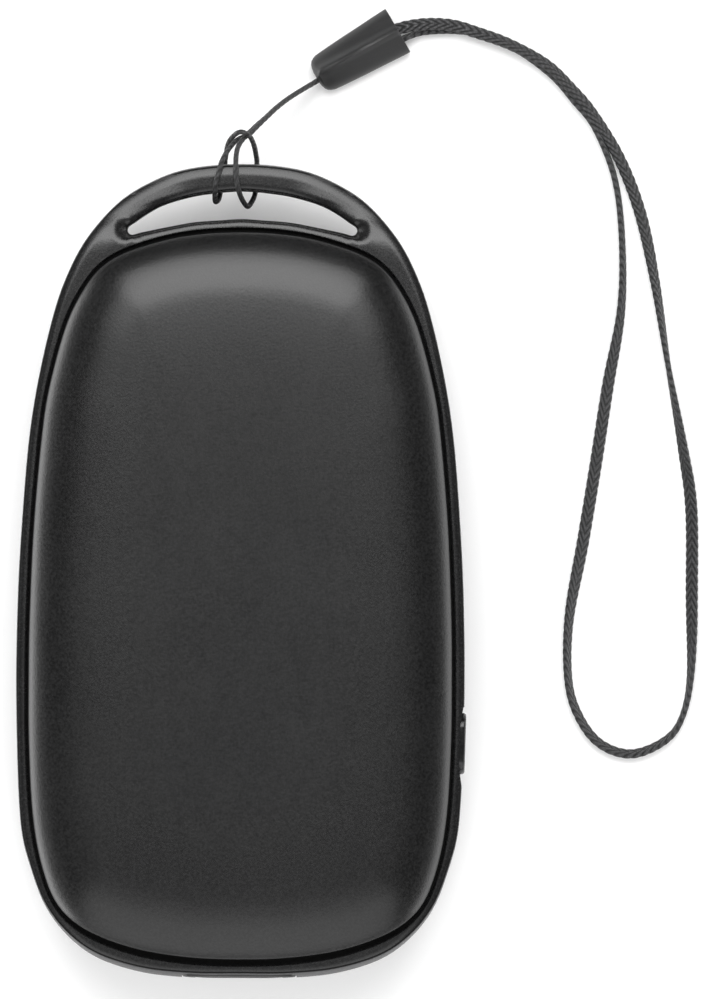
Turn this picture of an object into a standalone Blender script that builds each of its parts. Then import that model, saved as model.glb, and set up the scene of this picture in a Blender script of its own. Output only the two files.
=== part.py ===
# Rechargeable hand warmer: two domed metal covers on a three-layer plastic frame with a carrying
# loop, a side button, a port end, two battery cells with heaters, and a wrist lanyard.
# Units are metres. The warmer lies on its back cover: +Z is up, +Y points to the loop, and the
# origin is under the middle of the case, on the surface that it rests on.

import math

import bmesh
import bpy
from mathutils import Matrix, Vector

# Fits
clearance = 0.0003      # between neighbouring pieces
overrun = 0.001         # how far a cutter passes beyond what it cuts
embed = 0.0006          # how far a boss or tab runs into the wall that carries it
weld_distance = 0.0000003

# Battery cells and their cradle
cell_diameter = 0.0184
cell_length = 0.065
cell_crimp = 0.0008
cell_button_diameter = 0.0084
cell_tab_thickness = 0.0003
cell_tab_width = 0.027
cell_tab_depth = 0.003
cell_tab_rise = 0.0065
cradle_rib = 0.001
cradle_wall = 0.0012
cradle_depth = 0.008
cradle_rise = 0.005
cradle_tab_reach = 0.0045
cradle_tab_width = 0.005
cradle_tab_thickness = 0.0015
cradle_tab_level = 0.0007
cradle_tab_end_shares = (0.18, 0.82)

# Heaters, foam pads and thermistor
heater_thickness = 0.0004
heater_half_width = 0.015
heater_top_margin = 0.007
foam_thickness = 0.0017
foam_half_width = 0.0175
foam_margin = 0.0012
thermistor_diameter = 0.0016
thermistor_length = 0.004

# Covers
cover_thickness = 0.001
cover_crown = 0.0003
dome_width = 0.019
dome_offset = 0.009     # how far in the dome keeps an even distance from the rim
dome_fullness = 2.8

# Case layers, measured up from the middle plane
flank_half_height = 0.0065
flank_bulge_side = 0.0002
flank_bulge_end = 0.0006
bezel_height = 0.0018
bezel_ledge = 0.0008
bezel_seam_inset = 0.0001
bezel_round = 0.0005
side_margin = 0.0018
bottom_margin = 0.0029
wall_thickness = 0.0012
groove_side = 0.00045
groove_top = 0.0006
groove_bottom = 0.0011

# Room inside the case
cradle_side_room = 0.0018
board_arm_width = 0.0058
switch_room = 0.0022
board_end_room = 0.0025
board_length = 0.0255
cradle_end_room = 0.002
top_room = 0.0073

# Carrying loop
loop_rail = 0.002
loop_gap = 0.00415
loop_bar = 0.0043
loop_half_width = 0.01745
loop_upper_drop = 0.00605
loop_lower_drop = 0.0024
loop_bulge = 0.0003
loop_drop = 0.0034
loop_drop_lead = 0.0015
loop_drop_length = 0.0062
flare_bar = 0.0016
flare_rail = 0.0004
flare_tip = 0.002
flare_seam = 0.00055
flare_tip_sharpness = 6
end_sharpness = 4

# Button, its switch and the light pipe
button_offset = 0.0032
button_length = 0.0092
button_height = 0.0046
button_proud = 0.0003
button_edge = 0.0003
button_lip = 0.0006
button_flange = 0.0007
button_travel = 0.0003
button_stem_diameter = 0.002
button_stem_length = 0.0004
scoop_length = 0.013
scoop_depth = 0.0007
scoop_offset = -0.001
switch_length = 0.006
switch_depth = 0.0033
switch_height = 0.0035
plunger_diameter = 0.0016
plunger_proud = 0.0007
plunger_root = 0.0008
pipe_diameter = 0.0012
pipe_gap = 0.001
led_length = 0.002
led_depth = 0.0012
led_height = 0.0014

# Circuit board and the parts on it
board_thickness = 0.001
board_half_width = 0.024
board_chin_half_width = 0.0135
board_chin_length = 0.0075
board_arm_end = 0.0055
board_arm_root = 0.007
board_arm_taper = 0.0015
board_boss_overlap = 0.004
board_boss_share = 0.62
chip_edge = 0.005
chip_thickness = 0.0009
chip_x_share = 0.55
chip_y_share = 0.35
charger_chip_x_share = 0.25
charger_chip_y_share = 0.15
inductor_edge = 0.0068
inductor_height = 0.003
inductor_core_share = 0.62

# Ports in the bottom end
port_recess = 0.0002
port_insert_half_width = 0.0084
port_insert_wall = 0.0005
port_insert_lip = 0.0008
port_insert_flange = 0.001
port_corner = 0.0012
usb_width = 0.0125
usb_height = 0.0051
usb_depth = 0.013
usb_shell = 0.00035
usb_corner = 0.0004
usb_tongue_width = 0.0108
usb_tongue_thickness = 0.0016
usb_tongue_offset = 0.0007
usb_tongue_setback = 0.001
charging_width = 0.0075
charging_height = 0.0025
charging_depth = 0.0055
charging_shell = 0.0003
charging_corner = 0.0006
charging_tongue_width = 0.0046
charging_tongue_thickness = 0.0006
charging_tongue_setback = 0.0007

# Screws and bosses
screw_diameter = 0.0016
screw_head_diameter = 0.003
screw_head_height = 0.001
screw_length = 0.0035
boss_width = 0.005
boss_depth = 0.003

# Leads inside the case
battery_lead_diameter = 0.0012
heater_lead_diameter = 0.001
lead_spread = 0.003

# Lanyard
cord_diameter = 0.00078
strap_diameter = 0.0013
bead_length = 0.0138
bead_broad_half_width = 0.00375
bead_narrow_half_width = 0.00295
bead_nose_half_width = 0.0011
bead_height = 0.005
bead_nose = (0.01155, 0.0739)
bead_direction = (0.858, 0.514)
cord_point_spacing = 0.0023
strap_point_spacing = 0.0082

# Facets
outline_steps = 2
dome_steps = 8
dome_inner_steps = 5
loop_steps = 2
drop_cuts = 4
round_steps = 16
small_round_steps = 12
corner_steps = 3
route_steps = 12

# The case seen from above: share of the half width against share of the length, from the middle of
# the port end to the middle of the loop.
case_shares = (
    (0.0, 0.0), (0.224, 0.0005), (0.457, 0.0081), (0.677, 0.0309), (0.845, 0.0771),
    (0.937, 0.1377), (0.982, 0.1985), (1.001, 0.341), (0.996, 0.464), (0.978, 0.562),
    (0.949, 0.66), (0.908, 0.734), (0.848, 0.807), (0.7885, 0.857), (0.695, 0.9065),
    (0.545, 0.953), (0.384, 0.979), (0.2, 0.9945), (0.0, 1.0),
)

# The covers seen from above, in the same way: flatter ends and fuller corners than the case.
cover_shares = (
    (0.0, 0.0), (0.222, 0.003), (0.449, 0.0133), (0.681, 0.0315), (0.859, 0.0746),
    (0.941, 0.142), (0.979, 0.207), (1.0, 0.37), (0.986, 0.536), (0.945, 0.69),
    (0.89, 0.812), (0.842, 0.871), (0.7565, 0.925), (0.645, 0.956), (0.489, 0.9817),
    (0.33, 0.9945), (0.165, 0.9995), (0.0, 1.0),
)

# The crescent inside the loop: share of its half width against share of the fall from the middle.
loop_upper_shares = (
    (0.0, 0.0), (0.3, 0.074), (0.5, 0.19), (0.68, 0.355), (0.81, 0.554), (0.92, 0.769),
    (0.985, 0.915),
)
loop_lower_shares = ((0.957, 1.0), (0.85, 0.833), (0.63, 0.5), (0.41, 0.208), (0.19, 0.083), (0.0, 0.0))

# The bead from its nose to its broad end: share of the length, of the half width and of the height.
bead_stations = (
    (0.0, 0.0, 0.42), (0.03, 0.62, 0.72), (0.09, 0.97, 0.92), (0.5, 1.0, 1.0), (0.95, 1.0, 1.0),
    (1.0, 0.94, 0.93),
)
# Half of a section through the bead: share of the half width against share of the height.
bead_section_shares = ((0.0, 0.0), (0.72, 0.0), (1.0, 0.22), (1.0, 0.5), (0.78, 0.83), (0.0, 1.0))

# The thin cord, from the bead under the bight, over the bar, round behind it, up through the arch
# of the bight, and back the same way to the bead.
cord_route = (
    (0.01129, 0.07378, 0.00195), (0.0102, 0.07315, 0.0021), (0.0089, 0.07235, 0.0033),
    (0.0067, 0.0709, 0.0057), (0.00495, 0.0695, 0.008), (0.0035, 0.0681, 0.0101),
    (0.002, 0.06675, 0.0119), (0.0011, 0.06585, 0.013), (0.0003, 0.0652, 0.0137),
    (-0.00095, 0.0645, 0.0145), (-0.00185, 0.0635, 0.0162), (-0.0026, 0.06235, 0.0178),
    (-0.0032, 0.061, 0.0189), (-0.0036, 0.0595, 0.01945), (-0.004, 0.05815, 0.0194),
    (-0.0041, 0.05705, 0.0186), (-0.00415, 0.0561, 0.0171), (-0.00405, 0.0553, 0.0139),
    (-0.0036, 0.0557, 0.0106),
    (-0.00335, 0.0568, 0.0084), (-0.0031, 0.0585, 0.0074), (-0.00275, 0.0603, 0.0075),
    (-0.00266, 0.0616, 0.0084), (-0.0025, 0.0626, 0.0102), (-0.00235, 0.0635, 0.012),
    (-0.002, 0.0644, 0.0137), (-0.00125, 0.0653, 0.0151), (-0.00036, 0.06575, 0.0161),
    (0.0005, 0.0655, 0.01595), (0.001, 0.0651, 0.015), (0.0013, 0.0647, 0.014),
    (0.0017, 0.0637, 0.012), (0.00195, 0.0625, 0.01), (0.0021, 0.0614, 0.0083),
    (0.00205, 0.0598, 0.0074), (0.00195, 0.058, 0.0074), (0.00185, 0.0566, 0.0086),
    (0.0014, 0.0554, 0.011), (0.00075, 0.0546, 0.014), (-0.00005, 0.0556, 0.017),
    (-0.00065, 0.0572, 0.019), (-0.00095, 0.0588, 0.01945), (-0.001, 0.0603, 0.0192),
    (-0.001, 0.06175, 0.0182), (-0.0008, 0.0632, 0.0169), (-0.0003, 0.06425, 0.0157),
    (0.00035, 0.065, 0.01485), (0.00125, 0.0657, 0.01425), (0.00215, 0.06665, 0.01325),
    (0.0036, 0.0681, 0.0115), (0.0051, 0.06955, 0.0095), (0.0069, 0.071, 0.0072),
    (0.0092, 0.0725, 0.00465), (0.0103, 0.07315, 0.0032), (0.01129, 0.07378, 0.00285),
)

# The wrist strap: one loop laid on the surface, out of the bead's broad end and back into it.
strap_route = (
    (0.0236, 0.08124, 0.0025), (0.0273, 0.08198, 0.0025), (0.03135, 0.08183, 0.0023),
    (0.03495, 0.08108, 0.0022), (0.04005, 0.07928, 0.0022), (0.0456, 0.07628, 0.0021),
    (0.04935, 0.07268, 0.0019), (0.0525, 0.06893, 0.0015), (0.0567, 0.06203, 0.0009),
    (0.05985, 0.05378, 0.0007), (0.0621, 0.04343, 0.0007), (0.06405, 0.03128, 0.0007),
    (0.0663, 0.01898, 0.0007), (0.06765, 0.00983, 0.0007), (0.0678, -0.0026, 0.0007),
    (0.0677, -0.01493, 0.0007), (0.0665, -0.0216, 0.0007), (0.0639, -0.0253, 0.0007),
    (0.0588, -0.02738, 0.0007), (0.054, -0.0258, 0.0007), (0.0508, -0.0216, 0.0007),
    (0.04925, -0.01613, 0.0007), (0.04935, -0.007, 0.0007), (0.05139, 0.00458, 0.0007),
    (0.0534, 0.0171, 0.0007), (0.05505, 0.02813, 0.0007), (0.05694, 0.03923, 0.0007),
    (0.05708, 0.0496, 0.0007), (0.05595, 0.05903, 0.0007), (0.05295, 0.06668, 0.0007),
    (0.04965, 0.07088, 0.0007), (0.0465, 0.07448, 0.0007), (0.0417, 0.07808, 0.0007),
    (0.0369, 0.08018, 0.0007), (0.0321, 0.08078, 0.0007), (0.0273, 0.08033, 0.0009),
    (0.02463, 0.07952, 0.0019),
)

# Sizes that follow from the ones above
cell_radius = cell_diameter / 2
bore_radius = cell_radius + clearance
cell_x = bore_radius + cradle_rib / 2
cradle_half_width = cell_x + bore_radius + cradle_wall
cradle_end_gap = clearance + cell_tab_thickness + clearance
cradle_length = cell_length + 2 * (cradle_end_gap + cradle_wall)
board_arm_x = cradle_half_width + cradle_side_room
inner_half_width = board_arm_x + board_arm_width + switch_room
cover_half_width = inner_half_width + wall_thickness
case_half_width = cover_half_width + side_margin

cover_length = (2 * wall_thickness + board_end_room + board_length + cradle_end_room
                + cradle_length + top_room)
case_length = bottom_margin + cover_length + loop_rail + loop_gap + loop_bar
case_bottom = -case_length / 2
case_top = case_length / 2
loop_drop_start = case_top - loop_bar - loop_gap - loop_drop_lead
cover_bottom = case_bottom + bottom_margin
board_bottom = cover_bottom + wall_thickness + board_end_room
board_top = board_bottom + board_length
button_y = board_top + button_offset
cradle_bottom = board_top + cradle_end_room
cradle_top = cradle_bottom + cradle_length
cell_y = (cradle_bottom + cradle_top) / 2

stack_height = cell_radius + foam_thickness + heater_thickness + 3 * clearance
half_thickness = stack_height + cover_thickness + cover_crown
mid_z = half_thickness
seam_level = flank_half_height + clearance
bezel_top_level = seam_level + bezel_height
ledge_level = seam_level + bezel_ledge
rim_level = ledge_level + clearance

stack_half = (usb_height + charging_height + board_thickness) / 2 + clearance
usb_top_level = stack_half
usb_bottom_level = usb_top_level - usb_height
board_top_level = usb_bottom_level - clearance
board_bottom_level = board_top_level - board_thickness
charging_top_level = board_bottom_level - clearance
charging_bottom_level = charging_top_level - charging_height
mouth_y = case_bottom + 2 * port_recess
switch_level = usb_bottom_level + switch_height / 2


def material(name, colour, roughness, metallic=0.0):
    made = bpy.data.materials.new(name)
    made.use_nodes = True
    made.diffuse_color = (*colour, 1.0)
    shader = made.node_tree.nodes["Principled BSDF"]
    shader.inputs["Base Color"].default_value = (*colour, 1.0)
    shader.inputs["Roughness"].default_value = roughness
    shader.inputs["Metallic"].default_value = metallic
    return made


def smooth_point(before, start, end, after, t):
    # Catmull-Rom between start and end
    return 0.5 * (2 * start + (end - before) * t
                  + (2 * before - 5 * start + 4 * end - after) * t * t
                  + (3 * start - before - 3 * end + after) * t * t * t)


def smooth_loop(points, steps):
    count = len(points)
    return [smooth_point(points[i - 1], points[i], points[(i + 1) % count], points[(i + 2) % count],
                         step / steps)
            for i in range(count) for step in range(steps)]


def mirrored(half):
    return half + [Vector((-point.x, point.y)) for point in reversed(half) if point.x > 0]


def outline_from(shares, half_width, bottom, length):
    half = [Vector((x * half_width, bottom + y * length)) for x, y in shares]
    return smooth_loop(mirrored(half), outline_steps)


def outward(outline, i):
    along = outline[(i + 1) % len(outline)] - outline[i - 1]
    return Vector((along.y, -along.x)).normalized()


def grown(outline, amount):
    # amount is a distance, or a function of the point and its outward direction
    moved = []
    for i, point in enumerate(outline):
        normal = outward(outline, i)
        distance = amount(point, normal) if callable(amount) else amount
        moved.append(point + normal * distance)
    return moved


def half_width_at(outline, y):
    # how far the outline's +X side stands from the middle at this height
    widths = []
    for i, start in enumerate(outline):
        end = outline[(i + 1) % len(outline)]
        if start.x + end.x > 0 and min(start.y, end.y) <= y <= max(start.y, end.y) and start.y != end.y:
            widths.append(start.x + (end.x - start.x) * (y - start.y) / (end.y - start.y))
    return max(widths)


def rounded_box(half_width, half_height, radius):
    points = []
    corners = ((1, 1, 0), (-1, 1, 1), (-1, -1, 2), (1, -1, 3))
    for side_x, side_y, quarter in corners:
        for step in range(corner_steps + 1):
            angle = math.pi / 2 * (quarter + step / corner_steps)
            points.append(Vector((side_x * (half_width - radius) + radius * math.cos(angle),
                                  side_y * (half_height - radius) + radius * math.sin(angle))))
    return points


def circle(radius, steps):
    return [Vector((radius * math.cos(2 * math.pi * i / steps), radius * math.sin(2 * math.pi * i / steps)))
            for i in range(steps)]


def pill(half_length, radius, steps):
    # a slot outline, long in its first direction
    points = []
    for i in range(steps):
        angle = 2 * math.pi * (i + 0.5) / steps - math.pi / 2
        side = 1 if math.cos(angle) > 0 else -1
        points.append(Vector((side * (half_length - radius) + radius * math.cos(angle),
                              radius * math.sin(angle))))
    return points


def level_ring(outline, level):
    return [Vector((point.x, point.y, mid_z + level)) for point in outline]


def made_object(name, mesh_data, finish):
    bmesh.ops.recalc_face_normals(mesh_data, faces=mesh_data.faces)
    mesh = bpy.data.meshes.new(name)
    mesh_data.to_mesh(mesh)
    mesh_data.free()
    made = bpy.data.objects.new(name, mesh)
    bpy.context.collection.objects.link(made)
    if finish:
        mesh.materials.append(finish)
    return made


def loft(name, rings, finish=None):
    # skins the rings in order and closes both ends
    mesh_data = bmesh.new()
    rows = [[mesh_data.verts.new(point) for point in ring] for ring in rings]
    count = len(rows[0])
    for low, high in zip(rows, rows[1:]):
        for i in range(count):
            mesh_data.faces.new((low[i], low[(i + 1) % count], high[(i + 1) % count], high[i]))
    mesh_data.faces.new(rows[0])
    mesh_data.faces.new(rows[-1])
    return made_object(name, mesh_data, finish)


def block(name, low, high, finish=None):
    corners = [Vector((low[0], low[1])), Vector((high[0], low[1])), Vector((high[0], high[1])),
               Vector((low[0], high[1]))]
    return loft(name, [[Vector((c.x, c.y, z)) for c in corners] for z in (low[2], high[2])], finish)


def along_y(outline, y, x, z):
    return [Vector((x + point.x, y, z + point.y)) for point in outline]


def along_x(outline, x, y, z, lean=0.0):
    return [Vector((x + lean * point.x, y + point.x, z + point.y)) for point in outline]


def along_z(outline, z, x, y):
    return [Vector((x + point.x, y + point.y, z)) for point in outline]


def combine(target, tools, operation):
    # joins or cuts the tools, one after another, and clears them away
    for tool in tools:
        change = target.modifiers.new(operation.lower(), "BOOLEAN")
        change.operation = operation
        change.object = tool
        bpy.context.view_layer.update()
        with bpy.context.temp_override(object=target, active_object=target, selected_objects=[target]):
            bpy.ops.object.modifier_apply(modifier=change.name)
        bpy.data.objects.remove(tool)
    return target


def cut(target, *tools):
    return combine(target, tools, "DIFFERENCE")


def join(target, *tools):
    return combine(target, tools, "UNION")


def smooth_shaded(made, angle):
    made.data.shade_smooth()
    made.data.set_sharp_from_angle(angle=math.radians(angle))
    return made


def placed(made, origin):
    # moves the object's own origin without moving its shape
    place = Vector(origin)
    made.data.transform(Matrix.Translation(-place))
    made.location = place
    return made


def tube(name, points, diameter, finish, spacing):
    dense = [Vector(points[0])]
    route = [Vector(point) for point in points]
    first = 2 * route[0] - route[1]
    last = 2 * route[-1] - route[-2]
    extended = [first] + route + [last]
    for i in range(len(route) - 1):
        for step in range(1, route_steps + 1):
            dense.append(smooth_point(*extended[i:i + 4], step / route_steps))
    lengths = [0.0]
    for start, end in zip(dense, dense[1:]):
        lengths.append(lengths[-1] + (end - start).length)
    count = max(2, round(lengths[-1] / spacing)) + 1
    curve = bpy.data.curves.new(name, "CURVE")
    curve.dimensions = "3D"
    curve.bevel_depth = diameter / 2
    curve.bevel_resolution = 2
    curve.use_fill_caps = True
    curve.resolution_u = 1
    curve.render_resolution_u = 0
    spline = curve.splines.new("POLY")
    spline.points.add(count - 1)
    k = 0
    for i in range(count):
        want = lengths[-1] * i / (count - 1)
        while k < len(lengths) - 2 and lengths[k + 1] < want:
            k += 1
        share = (want - lengths[k]) / (lengths[k + 1] - lengths[k])
        spline.points[i].co = (*dense[k].lerp(dense[k + 1], share), 1.0)
    made = bpy.data.objects.new(name, curve)
    bpy.context.collection.objects.link(made)
    curve.materials.append(finish)
    return made


def drop_at(y):
    # how much nearer the middle plane the frame's faces lie along the loop
    share = min(max((y - loop_drop_start) / loop_drop_length, 0.0), 1.0)
    return loop_drop * share * share * (3 - 2 * share)


def thin_loop(made):
    # cuts the frame across the slope, then lowers its faces towards the middle plane
    mesh_data = bmesh.new()
    mesh_data.from_mesh(made.data)
    for i in range(drop_cuts + 1):
        everything = list(mesh_data.verts) + list(mesh_data.edges) + list(mesh_data.faces)
        bmesh.ops.bisect_plane(mesh_data, geom=everything, dist=weld_distance,
                               plane_co=(0, loop_drop_start + loop_drop_length * i / drop_cuts, 0),
                               plane_no=(0, 1, 0))
    for vertex in mesh_data.verts:
        height = vertex.co.z - mid_z
        share = min(abs(height) / flank_half_height, 1.0)
        vertex.co.z -= math.copysign(drop_at(vertex.co.y) * share, height)
    mesh_data.to_mesh(made.data)
    mesh_data.free()
    return made


case_outline = outline_from(case_shares, case_half_width, case_bottom, case_length)
cover_outline = outline_from(cover_shares, cover_half_width, cover_bottom, cover_length)
inner_outline = grown(cover_outline, -wall_thickness)


def crescent():
    upper_y = case_top - loop_bar
    lower_y = upper_y - loop_gap
    half = [Vector((x * loop_half_width, lower_y - y * loop_lower_drop))
            for x, y in reversed(loop_lower_shares)]
    half += [Vector((x * loop_half_width, upper_y - y * loop_upper_drop))
             for x, y in reversed(loop_upper_shares)]
    return smooth_loop(mirrored(half), loop_steps)


loop_outline = crescent()


def flare(point, normal):
    # how far the bezels draw back from the crescent at their outer faces
    tip = (abs(point.x) / loop_half_width) ** flare_tip_sharpness
    middle = flare_rail + (flare_bar - flare_rail) * (1 + normal.y) / 2
    return middle + (flare_tip - middle) * tip * abs(normal.x)


def scoop_cutter():
    # a shallow cylinder across the flank where the thumb finds the button
    radius = (scoop_length ** 2 / 4 + scoop_depth ** 2) / (2 * scoop_depth)
    middle_y = button_y + scoop_offset
    flank = half_width_at(case_outline, middle_y)
    arc = []
    for i in range(round_steps + 1):
        offset = scoop_length * (i / round_steps - 1 / 2)
        depth = math.sqrt(radius ** 2 - offset ** 2) - (radius - scoop_depth)
        arc.append(Vector((flank - depth, middle_y + offset)))
    arc.append(Vector((flank + overrun, middle_y + scoop_length / 2)))
    arc.append(Vector((flank + overrun, middle_y - scoop_length / 2)))
    return loft("scoop", [level_ring(arc, -half_thickness), level_ring(arc, half_thickness)])


def cover(name, side, finish):
    # a dished shell: a straight rim in the groove, then a dome that flattens towards a level middle
    edge = grown(cover_outline, -dome_offset)
    middle = sum(edge, Vector((0, 0))) / len(edge)

    def dome_ring(inset, level):
        if inset <= dome_offset:
            return level_ring(grown(cover_outline, -inset), side * level)
        share = (cover_half_width - inset) / (cover_half_width - dome_offset)
        return level_ring([middle + (point - middle) * share for point in edge], side * level)

    def profile(steps, thickness):
        rings = []
        rise = half_thickness - bezel_top_level - thickness
        for step in range(steps + 1):
            angle = math.pi / 2 * step / steps
            inset = thickness + (dome_width - thickness) * (1 - math.cos(angle) ** (2 / dome_fullness))
            rings.append((inset, bezel_top_level + rise * math.sin(angle)))
        return rings

    inner = [(cover_thickness, rim_level)] + profile(dome_inner_steps, cover_thickness)
    outer = [(0.0, rim_level)] + profile(dome_steps, 0.0)
    rings = [dome_ring(inset, level) for inset, level in reversed(inner)]
    rings += [dome_ring(inset, level) for inset, level in outer]
    return smooth_shaded(loft(name, rings, finish), 60)


def groove(point, normal):
    # the shadow gap round a cover is wider at its ends than along its sides
    if normal.y > 0:
        return groove_side + (groove_top - groove_side) * normal.y ** end_sharpness
    return groove_side + (groove_bottom - groove_side) * normal.y ** end_sharpness


def bulge(normal):
    # how far the flank's middle stands out beyond its seams, most at the two ends
    return flank_bulge_side + (flank_bulge_end - flank_bulge_side) * normal.y ** end_sharpness


def bezel(name, side, finish):
    rings = [(bezel_seam_inset, seam_level)]
    for step in range(corner_steps + 1):
        angle = math.pi / 2 * step / corner_steps
        rings.append((bezel_seam_inset + bezel_round * (1 - math.cos(angle)),
                      bezel_top_level - bezel_round * (1 - math.sin(angle))))
    made = loft(name, [level_ring(grown(case_outline, lambda point, normal: -inset - bulge(normal)),
                                  side * level) for inset, level in rings], finish)
    pocket = grown(cover_outline, groove)
    low = seam_level - overrun
    high = bezel_top_level + overrun
    middle = (seam_level + bezel_top_level) / 2
    small = grown(loop_outline, flare_seam)
    large = grown(loop_outline, flare)
    between = [a.lerp(b, 1 / 3) for a, b in zip(small, large)]
    cut(made,
        loft("pocket", [level_ring(pocket, side * ledge_level), level_ring(pocket, side * high)]),
        loft("inside", [level_ring(inner_outline, side * low), level_ring(inner_outline, side * high)]),
        loft("opening", [level_ring(small, side * low), level_ring(small, side * seam_level),
                         level_ring(between, side * middle), level_ring(large, side * bezel_top_level),
                         level_ring(large, side * high)]),
        scoop_cutter())
    return smooth_shaded(thin_loop(made), 35)


def boss(x_inner, y, top_level):
    # a block that runs from the frame's side wall to under a tab or the board
    reach = half_width_at(inner_outline, y) + embed
    side = 1 if x_inner > 0 else -1
    low = min(x_inner, side * reach)
    high = max(x_inner, side * reach)
    return block("boss", (low, y - boss_width / 2, mid_z + top_level - boss_depth),
                 (high, y + boss_width / 2, mid_z + top_level))


def cradle_tab_places():
    places = []
    for share in cradle_tab_end_shares:
        for side in (-1, 1):
            places.append((side * (cradle_half_width + cradle_tab_reach / 2),
                           cradle_bottom + share * cradle_length))
    return places


def board_boss_places():
    y = board_bottom + board_boss_share * (board_length - board_chin_length)
    x = board_half_width - board_boss_overlap / 2
    return [(-x, y), (x, y)]


def bore(x, y, low_level, high_level, diameter):
    outline = circle(diameter / 2, small_round_steps)
    return loft("bore", [along_z(outline, mid_z + level, x, y) for level in (low_level, high_level)])


def mid_frame(finish):
    shares = ((-1.0, 1.0), (-0.6, 0.25), (0.0, 0.0), (0.6, 0.25), (1.0, 1.0))
    made = loft("mid_frame", [level_ring(grown(case_outline, lambda point, normal: -inset * bulge(normal)),
                                         flank_half_height * level) for level, inset in shares], finish)
    reach = flank_half_height + overrun
    cut(made, loft("inside", [level_ring(inner_outline, -reach), level_ring(inner_outline, reach)]))
    opening = [(-reach, loop_bulge)]
    opening += [(flank_half_height * level, loop_bulge * inset) for level, inset in shares]
    opening += [(reach, loop_bulge)]
    cut(made, loft("opening", [level_ring(grown(loop_outline, extra), level) for level, extra in opening]),
        scoop_cutter())

    cradle_seat = cradle_tab_level - cradle_tab_thickness - clearance
    board_seat = board_bottom_level - clearance
    for x, y in cradle_tab_places():
        start = math.copysign(cradle_half_width + clearance, x)
        join(made, boss(start, y, cradle_seat))
        cut(made, bore(x, y, cradle_seat - boss_depth - overrun, cradle_seat + overrun,
                       screw_diameter + 2 * clearance))
    for x, y in board_boss_places():
        start = math.copysign(board_half_width - board_boss_overlap, x)
        join(made, boss(start, y, board_seat))
        cut(made, bore(x, y, board_seat - boss_depth - overrun, board_seat + overrun,
                       screw_diameter + 2 * clearance))

    flank = half_width_at(case_outline, button_y)
    wall = half_width_at(inner_outline, button_y)
    hole = pill(button_length / 2 + clearance, button_height / 2 + clearance, round_steps)
    pipe_hole = circle(pipe_diameter / 2 + clearance, small_round_steps)
    span = (wall - overrun, flank + overrun)
    port_hole = rounded_box(port_insert_half_width + clearance, port_insert_half_height() + clearance,
                            port_corner + clearance)
    port_span = (case_bottom - overrun, cover_bottom + wall_thickness + overrun)
    cut(made,
        loft("button_hole", [along_x(hole, x, button_y, mid_z) for x in span]),
        loft("pipe_hole", [along_x(pipe_hole, x, pipe_y(), mid_z) for x in span]),
        loft("port_hole", [along_y(port_hole, y, 0, mid_z) for y in port_span]))
    return smooth_shaded(thin_loop(made), 35)


def port_insert_half_height():
    return stack_half + clearance + port_insert_wall


def pipe_y():
    return button_y - button_length / 2 - pipe_gap - pipe_diameter / 2


def port_surround(finish):
    # the plastic insert round both sockets, with a flange behind the frame's end wall
    front = case_bottom + port_recess
    back_wall = cover_bottom + wall_thickness + clearance + port_end_sag()
    half_width = port_insert_half_width
    half_height = port_insert_half_height()
    plug = rounded_box(half_width, half_height, port_corner)
    chamfer = rounded_box(half_width - port_recess, half_height - port_recess, port_corner - port_recess)
    flange = rounded_box(half_width + port_insert_lip, half_height + port_insert_lip / 2, port_corner)
    made = loft("port_surround", [
        along_y(chamfer, front, 0, mid_z), along_y(plug, front + port_recess, 0, mid_z),
        along_y(plug, back_wall, 0, mid_z), along_y(flange, back_wall, 0, mid_z),
        along_y(flange, back_wall + port_insert_flange, 0, mid_z)], finish)
    span = (front - overrun, back_wall + port_insert_flange + overrun)
    usb = rounded_box(usb_width / 2 + clearance, usb_height / 2 + clearance, usb_corner)
    charging = rounded_box(charging_width / 2 + clearance, charging_height / 2 + clearance, charging_corner)
    cut(made,
        loft("usb", [along_y(usb, y, 0, mid_z + usb_top_level - usb_height / 2) for y in span]),
        loft("charging", [along_y(charging, y, 0, mid_z + charging_top_level - charging_height / 2)
                          for y in span]))
    return smooth_shaded(made, 40)


def port_end_sag():
    # how far the curved end wall has come up at the edge of the insert's flange
    edge = port_insert_half_width + port_insert_lip
    heights = [point.y for point in inner_outline if abs(point.x) <= edge and point.y < 0]
    beyond = min((point for point in inner_outline if point.x > edge and point.y < 0), key=lambda p: p.x)
    return max(heights + [beyond.y]) - min(heights)


def socket(name, width, height, depth, wall, corner, level, finish):
    # a folded metal shell, open to the front
    outer = rounded_box(width / 2, height / 2, corner)
    hollow = rounded_box(width / 2 - wall, height / 2 - wall, corner / 2)
    z = mid_z + level - height / 2
    made = loft(name, [along_y(outer, mouth_y, 0, z), along_y(outer, mouth_y + depth, 0, z)], finish)
    cut(made, loft("hollow", [along_y(hollow, mouth_y - overrun, 0, z),
                              along_y(hollow, mouth_y + depth - wall, 0, z)]))
    return smooth_shaded(placed(made, (0, mouth_y, z)), 40)


def tongue(name, width, thickness, setback, depth, wall, z, finish):
    front = mouth_y + setback
    back = mouth_y + depth - wall - clearance
    made = block(name, (-width / 2, front, z - thickness / 2), (width / 2, back, z + thickness / 2), finish)
    return placed(made, (0, back, z))


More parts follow.
